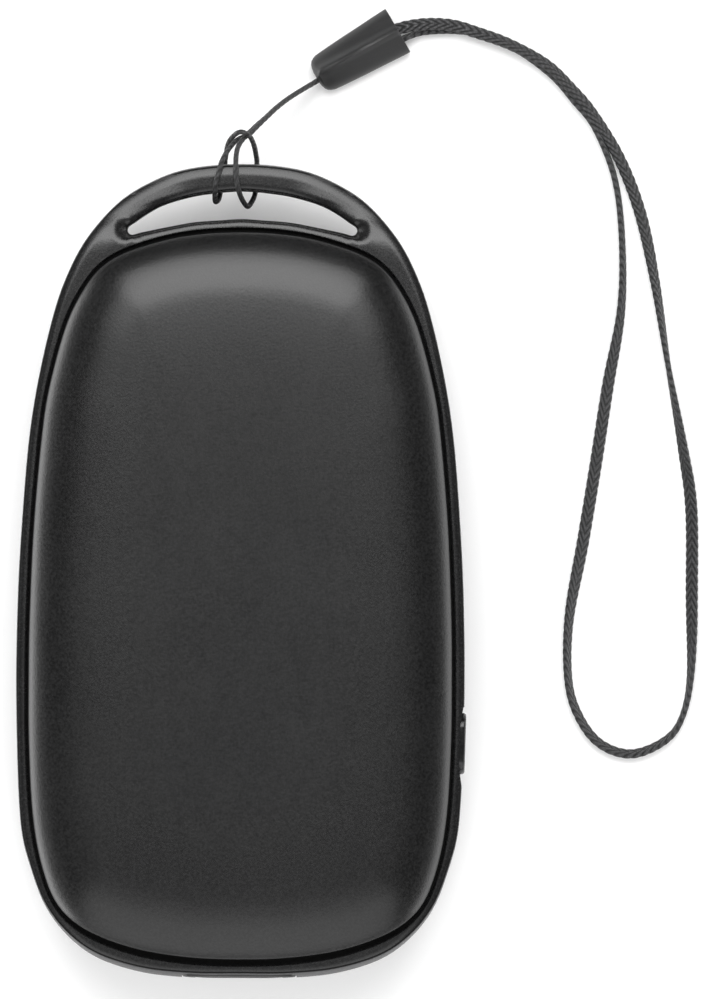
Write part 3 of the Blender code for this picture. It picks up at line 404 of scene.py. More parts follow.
def handlingMarks():
    # faint clouds left by hands, and short rubs
    group, given, result = newGroup("handlingMarks", [
        ("Vector", "NodeSocketVector", None), ("Size", "NodeSocketFloat", 70.0)], ["Mask"])
    cloud = addNode(group, "ShaderNodeTexNoise", None, {"Detail": 5.0, "Roughness": 0.62, "Distortion": 0.4})
    rubs = addNode(group, "ShaderNodeTexNoise", None, {"Detail": 2.0, "Roughness": 0.5})
    turn = addNode(group, "ShaderNodeMapping", None, {"Rotation": (0, 0, 0.6), "Scale": (6.0, 1.0, 1.0)})
    group.links.new(given["Vector"], cloud.inputs["Vector"])
    group.links.new(given["Vector"], turn.inputs["Vector"])
    group.links.new(turn.outputs[0], rubs.inputs["Vector"])
    group.links.new(given["Size"], cloud.inputs["Scale"])
    group.links.new(calc(group, "MULTIPLY", given["Size"], 1.7), rubs.inputs["Scale"])
    mix = calc(group, "ADD", calc(group, "MULTIPLY", cloud.outputs[0], 0.7),
               calc(group, "MULTIPLY", rubs.outputs[0], 0.3))
    group.links.new(spread(group, mix, 0.38, 0.62, 0.0, 1.0), result["Mask"])
    return group


def braidThreadsPaintedLight():
    # plies that lean both ways from the middle of the braid, on the piece's own UV map, and their threads;
    # its Shade is painted light, lighter on the ply crests and thread tops and darker in the gaps between
    # them, with a random fuzz tone over it
    group, given, result = newGroup("braidThreadsPaintedLight", [
        ("UV", "NodeSocketVector", None), ("Lean", "NodeSocketFloat", 1.5),
        ("Threads", "NodeSocketFloat", 4.0)], ["Shade", "Height"])
    parts = addNode(group, "ShaderNodeSeparateXYZ")
    group.links.new(given["UV"], parts.inputs[0])
    angle = calc(group, "MULTIPLY", parts.outputs["X"], 2 * math.pi)
    across = calc(group, "POWER", calc(group, "ABSOLUTE", calc(group, "COSINE", angle)), 0.62)
    side = calc(group, "SIGN", calc(group, "SINE", angle))
    climb = calc(group, "MULTIPLY", calc(group, "MULTIPLY", across, side), given["Lean"])
    place = calc(group, "MULTIPLY", calc(group, "ADD", parts.outputs["Y"], climb), math.pi)
    ply = calc(group, "POWER", calc(group, "ABSOLUTE", calc(group, "COSINE", place)), 0.8)
    strands = calc(group, "MULTIPLY", calc(group, "SUBTRACT", across, calc(group, "MULTIPLY", place, 0.12)),
                   given["Threads"])
    thread = calc(group, "MULTIPLY_ADD", calc(group, "SINE", calc(group, "MULTIPLY", strands, 2 * math.pi)),
                  0.5, 0.5)
    fuzz = addNode(group, "ShaderNodeTexNoise", None, {"Scale": 7.0, "Detail": 3.0, "Roughness": 0.7})
    group.links.new(given["UV"], fuzz.inputs["Vector"])
    # painted highlight on the ply crests and painted shade between the plies and threads
    paintedCrestLight = calc(group, "MULTIPLY", calc(group, "POWER", ply, 1.6),
               calc(group, "MULTIPLY_ADD", thread, 0.5, 0.5))
    group.links.new(calc(group, "MULTIPLY", paintedCrestLight, spread(group, fuzz.outputs[0], 0.35, 0.65, 0.35, 1.0)),
                    result["Shade"])
    group.links.new(calc(group, "ADD", ply, calc(group, "MULTIPLY", thread, 0.3)), result["Height"])
    return group


grain = mouldedGrain()
marks = handlingMarks()
threads = braidThreadsPaintedLight()


def placeGroup(tree, group, vector, values):
    node = addNode(tree, "ShaderNodeGroup", {"node_tree": group}, values)
    tree.links.new(vector, node.inputs[0])
    return node.outputs


def embossed(tree, shader, height, distance):
    relief = addNode(tree, "ShaderNodeBump", None, {"Strength": 1.0, "Distance": distance})
    tree.links.new(height, relief.inputs["Height"])
    tree.links.new(relief.outputs[0], shader.inputs["Normal"])


def startFinish(name, look):
    made = bpy.data.materials.new(name)
    made.use_nodes = True
    made.diffuse_color = (*look["colour"], 1)
    shader = made.node_tree.nodes["Principled BSDF"]
    shader.inputs["Metallic"].default_value = look.get("metallic", 0.0)
    shader.inputs["Specular IOR Level"].default_value = look.get("specular", 0.5)
    if "coat" in look:
        shader.inputs["Coat Weight"].default_value = look["coat"]
        shader.inputs["Coat Roughness"].default_value = look["coatRough"]
    if "sheen" in look:
        shader.inputs["Sheen Weight"].default_value = look["sheen"]
        shader.inputs["Sheen Roughness"].default_value = 0.5
    return made, made.node_tree, shader


def surface(name, look):
    # colour, gloss and relief of a moulded, coated or plated surface; sizes are in metres
    made, tree, shader = startFinish(name, look)
    place = addNode(tree, "ShaderNodeTexCoord").outputs["Object"]
    if "stretch" in look:
        lay = addNode(tree, "ShaderNodeMapping", None, {"Scale": look["stretch"]})
        tree.links.new(place, lay.inputs["Vector"])
        place = lay.outputs[0]
    fine = placeGroup(tree, grain, place, {"Size": 1 / look["grain"]})
    worn = placeGroup(tree, marks, place, {"Size": 1 / look["marks"]})
    share = calc(tree, "ADD", calc(tree, "MULTIPLY", fine["Shade"], 0.8),
                 calc(tree, "MULTIPLY", worn["Mask"], 0.2))
    tree.links.new(blended(tree, share, look["colour"], look["tint"]), shader.inputs["Base Color"])
    low, high = look["rough"]
    gloss = calc(tree, "ADD", calc(tree, "MULTIPLY", fine["Shade"], 0.75),
                 calc(tree, "MULTIPLY", worn["Mask"], 0.25))
    tree.links.new(spread(tree, gloss, 0.0, 1.0, low, high), shader.inputs["Roughness"])
    embossed(tree, shader, fine["Height"], look["relief"])
    return made


case = {
    "halfWidth": 0.03357, "bottom": -0.061125, "length": 0.12225, "mid": 0.0135,
    "coverHalfWidth": 0.03173, "coverBottom": -0.05823, "coverLength": 0.108905, "wall": 0.0012,
    "shares": (
        (0.0, 0.0), (0.224, 0.0005), (0.457, 0.0081), (0.677, 0.0309), (0.845, 0.0771),
        (0.937, 0.1377), (0.982, 0.1985), (1.001, 0.341), (0.996, 0.464), (0.978, 0.562),
        (0.949, 0.66), (0.908, 0.734), (0.848, 0.807), (0.7885, 0.857), (0.695, 0.9065),
        (0.545, 0.953), (0.384, 0.9795), (0.264, 0.9913), (0.13, 0.997), (0.0, 0.9987)),
    "coverShares": (
        (0.0, 0.0), (0.222, 0.0022), (0.449, 0.0115), (0.6335, 0.0278), (0.7753, 0.0498),
        (0.8761, 0.0828), (0.9448, 0.1405), (0.9808, 0.2065), (0.997, 0.295), (1.0, 0.37),
        (0.9965, 0.4704), (0.977, 0.6023), (0.9365, 0.7343), (0.8966, 0.8003), (0.8289, 0.8717),
        (0.757, 0.9157), (0.6741, 0.9486), (0.586, 0.9663), (0.4916, 0.9777), (0.33, 0.991),
        (0.165, 0.998), (0.0, 1.0)),
    "bulgeSide": 0.00005, "bulgeTop": 0.0002, "bulgeBottom": 0.0008,
}
caseTop = case["bottom"] + case["length"]
caseOutline = outlineFrom(case["shares"], case["halfWidth"], case["bottom"], case["length"])
coverOutline = outlineFrom(case["coverShares"], case["coverHalfWidth"], case["coverBottom"],
                           case["coverLength"])
innerOutline = grown(coverOutline, -case["wall"])


def levelRing(outline, level):
    return [Vector((point.x, point.y, case["mid"] + level)) for point in outline]


def alongX(outline, x, y, z, lean=0.0):
    return [Vector((x + lean * point.x, y + point.x, z + point.y)) for point in outline]


def alongY(outline, y, x, z):
    return [Vector((x + point.x, y, z + point.y)) for point in outline]


def bulge(normal):
    # how far the flank's middle stands out beyond its seams, most at the two ends
    end = case["bulgeTop"] if normal.y > 0 else case["bulgeBottom"]
    return case["bulgeSide"] + (end - case["bulgeSide"]) * normal.y ** 2


def eased(share):
    share = min(max(share, 0.0), 1.0)
    return share * share * (3 - 2 * share)


# how far a cutting tool reaches past the face that it cuts
past = 0.001


setStage(stageLook)
print("camera, floor and lamps set")


# The lanyard: thin cord, then the strap; both repeat the solids' routes

cordLook = {
    "diameter": 0.00078, "sides": 24, "spacing": 0.00012, "pitch": 0.0012, "swell": 0.075,
    "inside": 0.000702,
    "route": (
        (0.01129, 0.07378, 0.00195), (0.0102, 0.07315, 0.0021), (0.0089, 0.07235, 0.0033),
        (0.0067, 0.0709, 0.0057), (0.00495, 0.0695, 0.008), (0.0035, 0.0681, 0.0101),
        (0.002, 0.06675, 0.0119), (0.0011, 0.06585, 0.013), (0.0003, 0.0652, 0.0137),
        (-0.00095, 0.0645, 0.0145), (-0.00185, 0.0635, 0.0162), (-0.0026, 0.06235, 0.0178),
        (-0.0032, 0.061, 0.0189), (-0.0036, 0.0595, 0.01945), (-0.004, 0.05815, 0.0194),
        (-0.0041, 0.05705, 0.0186), (-0.00415, 0.0561, 0.0171), (-0.00405, 0.0553, 0.0139),
        (-0.0036, 0.0557, 0.0106),
        (-0.00335, 0.0568, 0.0084), (-0.0031, 0.0585, 0.0074), (-0.00275, 0.0603, 0.0075),
        (-0.00266, 0.0616, 0.0084), (-0.0025, 0.0626, 0.0102), (-0.00235, 0.0635, 0.012),
        (-0.002, 0.0644, 0.0137), (-0.00125, 0.0653, 0.0151), (-0.00036, 0.06575, 0.0161),
        (0.0005, 0.0655, 0.01595), (0.001, 0.0651, 0.015), (0.0013, 0.0647, 0.014),
        (0.0017, 0.0637, 0.012), (0.00195, 0.0625, 0.01), (0.0021, 0.0614, 0.0083),
        (0.00205, 0.0598, 0.0074), (0.00195, 0.058, 0.0074), (0.00185, 0.0566, 0.0086),
        (0.0014, 0.0554, 0.011), (0.00075, 0.0546, 0.014), (-0.00005, 0.0556, 0.017),
        (-0.00065, 0.0572, 0.019), (-0.00095, 0.0588, 0.01945), (-0.001, 0.0603, 0.0192),
        (-0.001, 0.06175, 0.0182), (-0.0008, 0.0632, 0.0169), (-0.0003, 0.06425, 0.0157),
        (0.00035, 0.065, 0.01485), (0.00125, 0.0657, 0.01425), (0.00215, 0.06665, 0.01325),
        (0.0036, 0.0681, 0.0115), (0.0051, 0.06955, 0.0095), (0.0069, 0.071, 0.0072),
        (0.0092, 0.0725, 0.00465), (0.0103, 0.07315, 0.0032), (0.01129, 0.07378, 0.00285)),
}

strapLook = {
    "width": 0.0019, "thickness": 0.00086, "sides": 44, "spacing": 0.00018, "pitch": 0.0013,
    "lean": 1.5, "swell": 0.00013, "inside": 0.0012, "sag": 0.0002, "clear": 0.00004,
    "square": (0.62, 0.72), "plyRound": 0.6, "creaseWidth": 0.12, "creaseShare": 0.5,
    # beside the bead the strands lie off the route: which point, and how far along Y and Z
    "besideBead": ((0, 0.0004, 0), (1, 0.0003, 0), (2, 0.00027, 0), (-4, 0.00022, 0),
                   (-3, 0.00044, 0), (-2, 0.00077, 0), (-1, 0.00083, -0.0001)),
    # place, and how far the flat braid has turned on to its edge there, in degrees
    "route": (
        (0.0236, 0.08124, 0.0025, 12), (0.0273, 0.08198, 0.0025, 14), (0.03135, 0.08183, 0.0023, 15),
        (0.03495, 0.08108, 0.0022, 20), (0.04005, 0.07928, 0.0022, 34), (0.0456, 0.07628, 0.0021, 42),
        (0.04935, 0.07268, 0.0019, 40), (0.0525, 0.06893, 0.0015, 34), (0.0567, 0.06203, 0.0009, 26),
        (0.05985, 0.05378, 0.0007, 22), (0.0621, 0.04343, 0.0007, 52), (0.06405, 0.03128, 0.0007, 88),
        (0.0663, 0.01898, 0.0007, 132), (0.06765, 0.00983, 0.0007, 166), (0.0678, -0.0026, 0.0007, 168),
        (0.0677, -0.01493, 0.0007, 112), (0.0665, -0.0216, 0.0007, 98), (0.0639, -0.0253, 0.0007, 112),
        (0.0588, -0.02738, 0.0007, 124), (0.054, -0.0258, 0.0007, 124), (0.0508, -0.0216, 0.0007, 122),
        (0.04925, -0.01613, 0.0007, 116), (0.04935, -0.007, 0.0007, 128), (0.05139, 0.00458, 0.0007, 166),
        (0.0534, 0.0171, 0.0007, 168), (0.05505, 0.02813, 0.0007, 156), (0.05694, 0.03923, 0.0007, 118),
        (0.05708, 0.0496, 0.0007, 102), (0.05595, 0.05903, 0.0007, 98), (0.05295, 0.06668, 0.0007, 98),
        (0.04965, 0.07088, 0.0007, 96), (0.0465, 0.07448, 0.0007, 96), (0.0417, 0.07808, 0.0007, 95),
        (0.0369, 0.08018, 0.0007, 95), (0.0321, 0.08078, 0.0007, 95), (0.0273, 0.08033, 0.0009, 98),
        (0.02463, 0.07952, 0.0019, 102)),
}

beadLook = {
    "nose": (0.01095, 0.07418), "direction": (0.864, 0.5035), "length": 0.0142, "height": 0.005,
    # along the bead: half width, lowest and highest share of the height
    "stations": (
        (0.0, 0.0009, 0.30, 0.66), (0.0001, 0.0015, 0.22, 0.76), (0.0003, 0.0021, 0.15, 0.84),
        (0.0006, 0.0025, 0.09, 0.90), (0.001, 0.00276, 0.05, 0.945), (0.0016, 0.00296, 0.02, 0.975),
        (0.0026, 0.00306, 0.0, 0.99), (0.0045, 0.0032, 0.0, 1.0), (0.0069, 0.00336, 0.0, 1.0),
        (0.0095, 0.0035, 0.0, 1.0), (0.012, 0.00366, 0.0, 1.0), (0.0138, 0.00376, 0.0, 1.0),
        (0.0141, 0.00375, 0.01, 0.995), (0.0142, 0.00366, 0.025, 0.975)),
    "sides": 120, "belt": 0.36, "ridgeWidth": 0.00075, "ridgeHeight": 0.0006, "ridgeSunk": 0.9,
    "ridgeStart": 0.0004, "ridgeRise": 0.0006, "ridgeShift": (0.0006, 0.00005),
    "creaseDepth": 0.00012, "creaseWidth": 0.0003, "creaseShift": 0.00015,
    "mouthHalf": 0.00185, "mouthRadius": 0.0009, "mouthShift": -0.0009, "mouthLevel": 0.0022,
    "mouthDepth": 0.0022, "chamfer": 0.0002, "chamferDepth": 0.00025,
    "holeHalf": 0.00107, "holeRadius": 0.000665, "holeShift": -0.0002, "holeLevel": 0.0024,
    "holeDepth": 0.0016,
}


def evenRoute(points, spacing, steps=12):
    # a smooth line through the route's points, cut at even steps
    route = [Vector(point) for point in points]
    ends = [2 * route[0] - route[1]] + route + [2 * route[-1] - route[-2]]
    dense = [route[0]]
    for i in range(len(route) - 1):
        for step in range(1, steps + 1):
            dense.append(between(*ends[i:i + 4], step / steps))
    lengths = [0.0]
    for start, end in zip(dense, dense[1:]):
        lengths.append(lengths[-1] + (end.xyz - start.xyz).length)
    count = round(lengths[-1] / spacing)
    placed = []
    k = 0
    for i in range(count + 1):
        want = lengths[-1] * i / count
        while k < len(lengths) - 2 and lengths[k + 1] < want:
            k += 1
        placed.append(dense[k].lerp(dense[k + 1], (want - lengths[k]) / (lengths[k + 1] - lengths[k])))
    return placed, lengths[-1]


def woven(name, rings, uvs):
    # skins the rings of a cord, closes its ends and lays its UV map along it
    mesh = bmesh.new()
    layer = mesh.loops.layers.uv.new("UVMap")
    rows = [[mesh.verts.new(point) for point in ring] for ring in rings]
    sides = len(rows[0])
    for i in range(len(rows) - 1):
        for k in range(sides):
            after = (k + 1) % sides
            face = mesh.faces.new((rows[i][k], rows[i][after], rows[i + 1][after], rows[i + 1][k]))
            face.smooth = True
            places = ((k, i), (k + 1, i), (k + 1, i + 1), (k, i + 1))
            for loop, (turn, row) in zip(face.loops, places):
                loop[layer].uv = (turn / sides, uvs[row])
    mesh.faces.new(list(reversed(rows[0])))
    mesh.faces.new(rows[-1])
    bmesh.ops.recalc_face_normals(mesh, faces=mesh.faces)
    data = bpy.data.meshes.new(name)
    mesh.to_mesh(data)
    mesh.free()
    piece = bpy.data.objects.new(name, data)
    bpy.context.collection.objects.link(piece)
    return piece


def makeCord(look):
    along = Vector((*beadLook["direction"], 0)).normalized()
    route = [Vector(point) for point in look["route"]]
    inside = look["inside"] * along
    route = [route[0] + inside] + route + [route[-1] + inside]
    places, length = evenRoute(route, look["spacing"])
    radius = look["diameter"] / 2
    side = Vector((0, 0, 1))
    rings, uvs = [], []
    for i, place in enumerate(places):
        along = (places[min(i + 1, len(places) - 1)] - places[max(i - 1, 0)]).normalized()
        side = (side - along * side.dot(along)).normalized()
        up = along.cross(side)
        gone = length * i / (len(places) - 1)
        climb = 2 * math.pi * gone / look["pitch"]
        ring = []
        for k in range(look["sides"]):
            angle = 2 * math.pi * k / look["sides"]
            ply = max(math.cos(4 * angle + climb), math.cos(4 * angle - climb))
            reach = radius * (1 - look["swell"] * (1 - ply))
            ring.append(place + side * (reach * math.cos(angle)) + up * (reach * math.sin(angle)))
        rings.append(ring)
        uvs.append(gone / look["pitch"])
    return woven("lanyardCord", rings, uvs), places, length


def makeStrap(look):
    along = Vector((*beadLook["direction"], 0)).normalized()
    route = [Vector(point) for point in look["route"]]
    for i, forward, up in look["besideBead"]:
        route[i] += Vector((0, forward, up, 0))
    inside = look["inside"] * Vector((*along, 0))
    route = [route[0] - inside] + route + [route[-1] - inside]
    places, length = evenRoute(route, look["spacing"])
    halfWidth, halfThick = look["width"] / 2, look["thickness"] / 2
    rings, uvs, path = [], [], []
    for i, place in enumerate(places):
        ahead, behind = places[min(i + 1, len(places) - 1)], places[max(i - 1, 0)]
        along = (ahead.xyz - behind.xyz).normalized()
        level = along.cross(Vector((0, 0, 1))).normalized()
        up = level.cross(along)
        turn = math.radians(place.w)
        wide = level * math.cos(turn) + up * math.sin(turn)
        thick = up * math.cos(turn) - level * math.sin(turn)
        stands = abs(halfWidth * math.sin(turn)) + abs(halfThick * math.cos(turn))
        centre = Vector(place.xyz)
        centre.z = max(centre.z - look["sag"], stands + look["clear"])
        path.append(centre)
        gone = length * i / (len(places) - 1)
        ring = []
        for k in range(look["sides"]):
            angle = 2 * math.pi * k / look["sides"]
            x = math.copysign(abs(math.cos(angle)) ** look["square"][0], math.cos(angle))
            y = math.copysign(abs(math.sin(angle)) ** look["square"][1], math.sin(angle))
            way = 1 if y > 0 else -1
            ply = abs(math.cos(math.pi * (gone / look["pitch"] + look["lean"] * abs(x) * way)))
            crease = math.exp(-(x / look["creaseWidth"]) ** 2)
            sink = look["swell"] * (1 - ply ** look["plyRound"] + look["creaseShare"] * crease)
            ring.append(centre + wide * (x * (halfWidth - sink)) + thick * (y * (halfThick - sink)))
        rings.append(ring)
        uvs.append(gone / look["pitch"])
    return woven("wristStrap", rings, uvs), path, length


def makeBead(look):
    along = Vector((*look["direction"], 0)).normalized()
    across = Vector((-along.y, along.x, 0))
    nose = Vector((*look["nose"], 0))
    rings = []
    for place, half, low, high in look["stations"]:
        share = place / look["length"]
        middle = look["ridgeShift"][0] + (look["ridgeShift"][1] - look["ridgeShift"][0]) * share
        rise = min(max((place - look["ridgeStart"]) / look["ridgeRise"], 0.0), 1.0)
        bottom, top = look["height"] * low, look["height"] * high
        top -= rise * look["ridgeHeight"] * look["ridgeSunk"]
        belt = bottom + (top - bottom) * look["belt"]
        ring = []
        for k in range(look["sides"]):
            angle = 2 * math.pi * k / look["sides"]
            x = math.copysign(abs(math.cos(angle)) ** 0.8, math.cos(angle)) * half
            u = min(abs(x) / half, 1.0)
            if math.sin(angle) >= 0:
                z = belt + (top - belt) * (0.62 * (1 - u ** 1.25) + 0.38 * math.sqrt(1 - u ** 4))
                z += rise * look["ridgeHeight"] * math.exp(-((x - middle) / look["ridgeWidth"]) ** 2)
                crease = (x - middle + look["ridgeWidth"] + look["creaseShift"]) / look["creaseWidth"]
                z -= rise * look["creaseDepth"] * math.exp(-crease * crease)
            else:
                z = belt - (belt - bottom) * math.sqrt(1 - u ** 3.5)
            ring.append(nose + along * place + across * x + Vector((0, 0, z)))
        rings.append(ring)
    piece = formFromRings("lanyardBead", rings)

    def standing(outline, place, shift, level):
        return [nose + along * place + across * (shift + point.x) + Vector((0, 0, level + point.y))
                for point in outline]

    mouth = pill(look["mouthHalf"], look["mouthRadius"])
    wide = pill(look["mouthHalf"] + look["chamfer"], look["mouthRadius"] + look["chamfer"])
    end = look["length"]
    carve(piece, formFromRings("mouth", [
        standing(outline, place, look["mouthShift"], look["mouthLevel"]) for outline, place in (
            (mouth, end - look["mouthDepth"]), (mouth, end - look["chamferDepth"]), (wide, end),
            (wide, end + past))]))
    hole = pill(look["holeHalf"], look["holeRadius"], 40)
    return carve(piece, formFromRings("hole", [
        standing(hole, place, look["holeShift"], look["holeLevel"]) for place in (look["holeDepth"], -past)]))


def braidFinish(name, look):
    # base colour runs from colour in the gaps to tint on the crests: painted shade and painted highlight
    made, tree, shader = startFinish(name, look)
    uv = addNode(tree, "ShaderNodeUVMap", {"uv_map": "UVMap"}).outputs[0]
    weaveAndPaintedLight = placeGroup(tree, threads, uv, {"Threads": look["threads"], "Lean": look["lean"]})
    tree.links.new(blended(tree, weaveAndPaintedLight["Shade"], look["colour"], look["tint"]), shader.inputs["Base Color"])
    tree.links.new(spread(tree, weaveAndPaintedLight["Shade"], 0.0, 1.0, *look["rough"]), shader.inputs["Roughness"])
    embossed(tree, shader, weaveAndPaintedLight["Height"], look["relief"])
    return made


# in the braids, tint is the painted highlight on the crests and colour the painted shade in the gaps
cordBraidPaintedLight = braidFinish("cordBraidPaintedLight", {
    "colour": (0.003, 0.003, 0.0032), "tint": (0.06, 0.06, 0.062), "rough": (0.75, 0.5),
    "threads": 3.0, "lean": 1.0, "relief": 0.00006, "sheen": 0.08})
strapBraidPaintedLight = braidFinish("strapBraidPaintedLight", {
    "colour": (0.0025, 0.0025, 0.0027), "tint": (0.075, 0.075, 0.078), "rough": (0.7, 0.42),
    "threads": 3.0, "lean": 1.5, "relief": 0.0001, "sheen": 0.06})
beadFinish = surface("beadSatin", {
    "colour": (0.01, 0.01, 0.0104), "tint": (0.015, 0.015, 0.0154), "rough": (0.42, 0.47),
    "grain": 0.0002, "marks": 0.006, "relief": 0.000006})

cord, cordPath, cordLength = makeCord(cordLook)
cord.data.materials.append(cordBraidPaintedLight)
rides(cord, "case", "lanyard_cord")
strap, strapPath, strapLength = makeStrap(strapLook)
strap.data.materials.append(strapBraidPaintedLight)
rides(strap, "case", "wrist_strap")
bead = dressed(makeBead(beadLook), "lanyardBead", beadFinish, 32)
rides(bead, "case", "lanyard_bead")
print("lanyard made: cord", round(cordLength, 4), "strap", round(strapLength, 4))


# Covers

coverLook = {
    "rim": 0.0079, "foot": 0.0086, "wall": 0.001, "edge": 0.0001,
    # how far in from the rim, and how high above its foot
    "dome": (
        (0.0, 0.0), (0.00001, 0.0004), (0.00004, 0.0008), (0.0001, 0.00105), (0.0003, 0.00127),
        (0.0006, 0.00154), (0.001, 0.00185), (0.0015, 0.00219), (0.0022, 0.0026), (0.003, 0.003),
        (0.004, 0.0034), (0.0052, 0.00378), (0.007, 0.00418), (0.0095, 0.00454), (0.0125, 0.00477),
        (0.016, 0.00487), (0.019, 0.0049)),
    "offsetUpTo": 0.009, "steps": 3,
}


def domeRing(inset, level):
    # offset lines near the rim, and the last of them drawn in towards the middle beyond that
    if inset <= coverLook["offsetUpTo"]:
        return levelRing(grown(coverOutline, -inset), level)
    edge = grown(coverOutline, -coverLook["offsetUpTo"])
    middle = sum(edge, Vector((0, 0))) / len(edge)
    share = (case["coverHalfWidth"] - inset) / (case["coverHalfWidth"] - coverLook["offsetUpTo"])
    return levelRing([middle + (point - middle) * share for point in edge], level)


def makeCover(look):
    table = [Vector(pair) for pair in look["dome"]]
    ends = [2 * table[0] - table[1]] + table + [2 * table[-1] - table[-2]]
    profile = []
    for i in range(len(table) - 1):
        profile += [between(*ends[i:i + 4], step / look["steps"]) for step in range(look["steps"])]
    profile.append(table[-1])
    wall, edge = look["wall"], look["edge"]
    rings = [domeRing(point.x + wall, look["foot"] + point.y - wall)
             for point in reversed(profile[::2]) if point.y > wall * 0.6]
    rings += [domeRing(wall, look["rim"] + edge), domeRing(wall - edge, look["rim"]),
              domeRing(edge, look["rim"]), domeRing(0.0, look["rim"] + edge)]
    rings += [domeRing(point.x, look["foot"] + point.y) for point in profile]
    return formFromRings("frontCover", rings)


coverFinish = surface("satinBlackCover", {
    "colour": (0.0004, 0.0004, 0.0005), "tint": (0.009, 0.009, 0.0092), "rough": (0.3, 0.34),
    "grain": 0.0003, "marks": 0.02, "relief": 0.000014})
frontCover = dressed(makeCover(coverLook), "frontCover", coverFinish, 50)
rides(frontCover, "case", "front_cover")
backCover = turnedOver(frontCover, "backCover")
rides(backCover, "case", "back_cover")
print("covers made")


# The carrying loop's crescent, and the slope of its faces

loopLook = {
    "halfWidth": 0.01745, "gap": 0.00415, "bar": 0.0043, "upperDrop": 0.00605, "lowerDrop": 0.0024,
    "upper": ((0.0, 0.0), (0.3, 0.074), (0.5, 0.19), (0.68, 0.355), (0.81, 0.554), (0.92, 0.769),
              (0.985, 0.915)),
    "lower": ((0.957, 1.0), (0.85, 0.833), (0.63, 0.5), (0.41, 0.208), (0.19, 0.083), (0.0, 0.0)),
    "points": 280, "drop": 0.0034, "fullFrom": 0.0065, "centre": 0.04, "turnStart": 75, "turnEnd": 22,
    "reachStart": 0.0016, "reachEnd": 0.0059, "cutFrom": 0.042, "cutTo": 0.06, "cuts": 24,
    "flareBar": 0.0012, "flareRail": 0.0012, "flareTip": 0.0026, "seam": 0.00024,
    "deepBar": 0.0004, "deepRail": 0.0005, "deepTip": 0.0011,
}


def makeCrescent(look):
    upperY = caseTop - look["bar"]
    lowerY = upperY - look["gap"]
    half = [Vector((x * look["halfWidth"], lowerY - y * look["lowerDrop"]))
            for x, y in reversed(look["lower"])]
    half += [Vector((x * look["halfWidth"], upperY - y * look["upperDrop"]))
             for x, y in reversed(look["upper"])]
    return faired(evenly(smoothLoop(wholeLoop(half), 12), look["points"]), 6)


crescent = makeCrescent(loopLook)


def tipShare(point, normal):
    # how much a point of the crescent belongs to one of its two tips
    return (abs(point.x) / loopLook["halfWidth"]) ** 4 * min(1.0, 1.25 * abs(normal.x))


def flareAt(point, normal, kind="flare"):
    # the opening's edge, rounded along the bar and the rail and scooped out at the tips
    look = loopLook
    middle = look[kind + "Rail"] + (look[kind + "Bar"] - look[kind + "Rail"]) * (1 + normal.y) / 2
    return middle + (look[kind + "Tip"] - middle) * tipShare(point, normal)


coverEdge = evenly(coverOutline, 2400)
coverTree = kdtree.KDTree(len(coverEdge))
for number, point in enumerate(coverEdge):
    coverTree.insert((point.x, point.y, 0.0), number)
coverTree.balance()


def fallAt(place):
    # how much nearer the middle plane the loop's faces lie than the case's
    look = loopLook
    if place.y < look["centre"]:
        return 0.0
    near, number, reach = coverTree.find((place.x, place.y, 0.0))
    ahead = coverEdge[(number + 1) % len(coverEdge)] - coverEdge[number - 1]
    if ahead.y * (place.x - near.x) < ahead.x * (place.y - near.y):
        return 0.0
    turn = math.degrees(math.atan2(abs(place.x), place.y - look["centre"]))
    return (look["drop"] * eased((look["turnStart"] - turn) / (look["turnStart"] - look["turnEnd"]))
            * eased((reach - look["reachStart"]) / (look["reachEnd"] - look["reachStart"])))


def lowerLoop(piece):
    # cuts the piece across the loop, then brings its faces nearer the middle plane
    look = loopLook
    choose(piece)
    bpy.ops.object.mode_set(mode="EDIT")
    for i in range(look["cuts"] + 1):
        bpy.ops.mesh.select_all(action="SELECT")
        cut = look["cutFrom"] + (look["cutTo"] - look["cutFrom"]) * i / look["cuts"]
        bpy.ops.mesh.bisect(plane_co=(0, cut, 0), plane_no=(0, 1, 0))
    mesh = bmesh.from_edit_mesh(piece.data)
    for vert in mesh.verts:
        height = vert.co.z - case["mid"]
        vert.co.z -= math.copysign(fallAt(vert.co) * min(abs(height) / look["fullFrom"], 1.0), height)
    bmesh.update_edit_mesh(piece.data)
    bpy.ops.object.mode_set(mode="OBJECT")
    return piece


buttonLook = {
    "y": -0.025825, "length": 0.0092, "height": 0.0046, "proud": 0.0003, "edge": 0.0004, "lip": 0.0006,
    "flange": 0.0007, "stem": 0.001, "stemLevel": 0.00125, "stemRoot": 0.0003, "gap": 0.0003,
    # the face's hollow: how far in from its edge, and what share of the depth
    "dish": 0.00006, "dishLines": ((0.0007, 0.15), (0.0012, 0.6), (0.0017, 1.0)),
    "scoopLength": 0.013, "scoopDepth": 0.0007, "scoopShift": -0.001,
    "pipeRadius": 0.0006, "pipeGap": 0.001, "pipeDome": 0.00022,
}


def scoopTool(look):
    # a shallow cylinder across the flank where the thumb finds the button
    depth, length = look["scoopDepth"], look["scoopLength"]
    radius = (length ** 2 / 4 + depth ** 2) / (2 * depth)
    middle = look["y"] + look["scoopShift"]
    flank = halfWidthAt(caseOutline, middle)
    arc = []
    for i in range(65):
        offset = length * (i / 64 - 0.5)
        deep = math.sqrt(radius ** 2 - offset ** 2) - (radius - depth)
        arc.append(Vector((flank - deep, middle + offset)))
    arc += [Vector((flank + past, middle + side * length / 2)) for side in (1, -1)]
    return formFromRings("scoop", [levelRing(arc, -case["mid"]), levelRing(arc, case["mid"])])


# Bezels

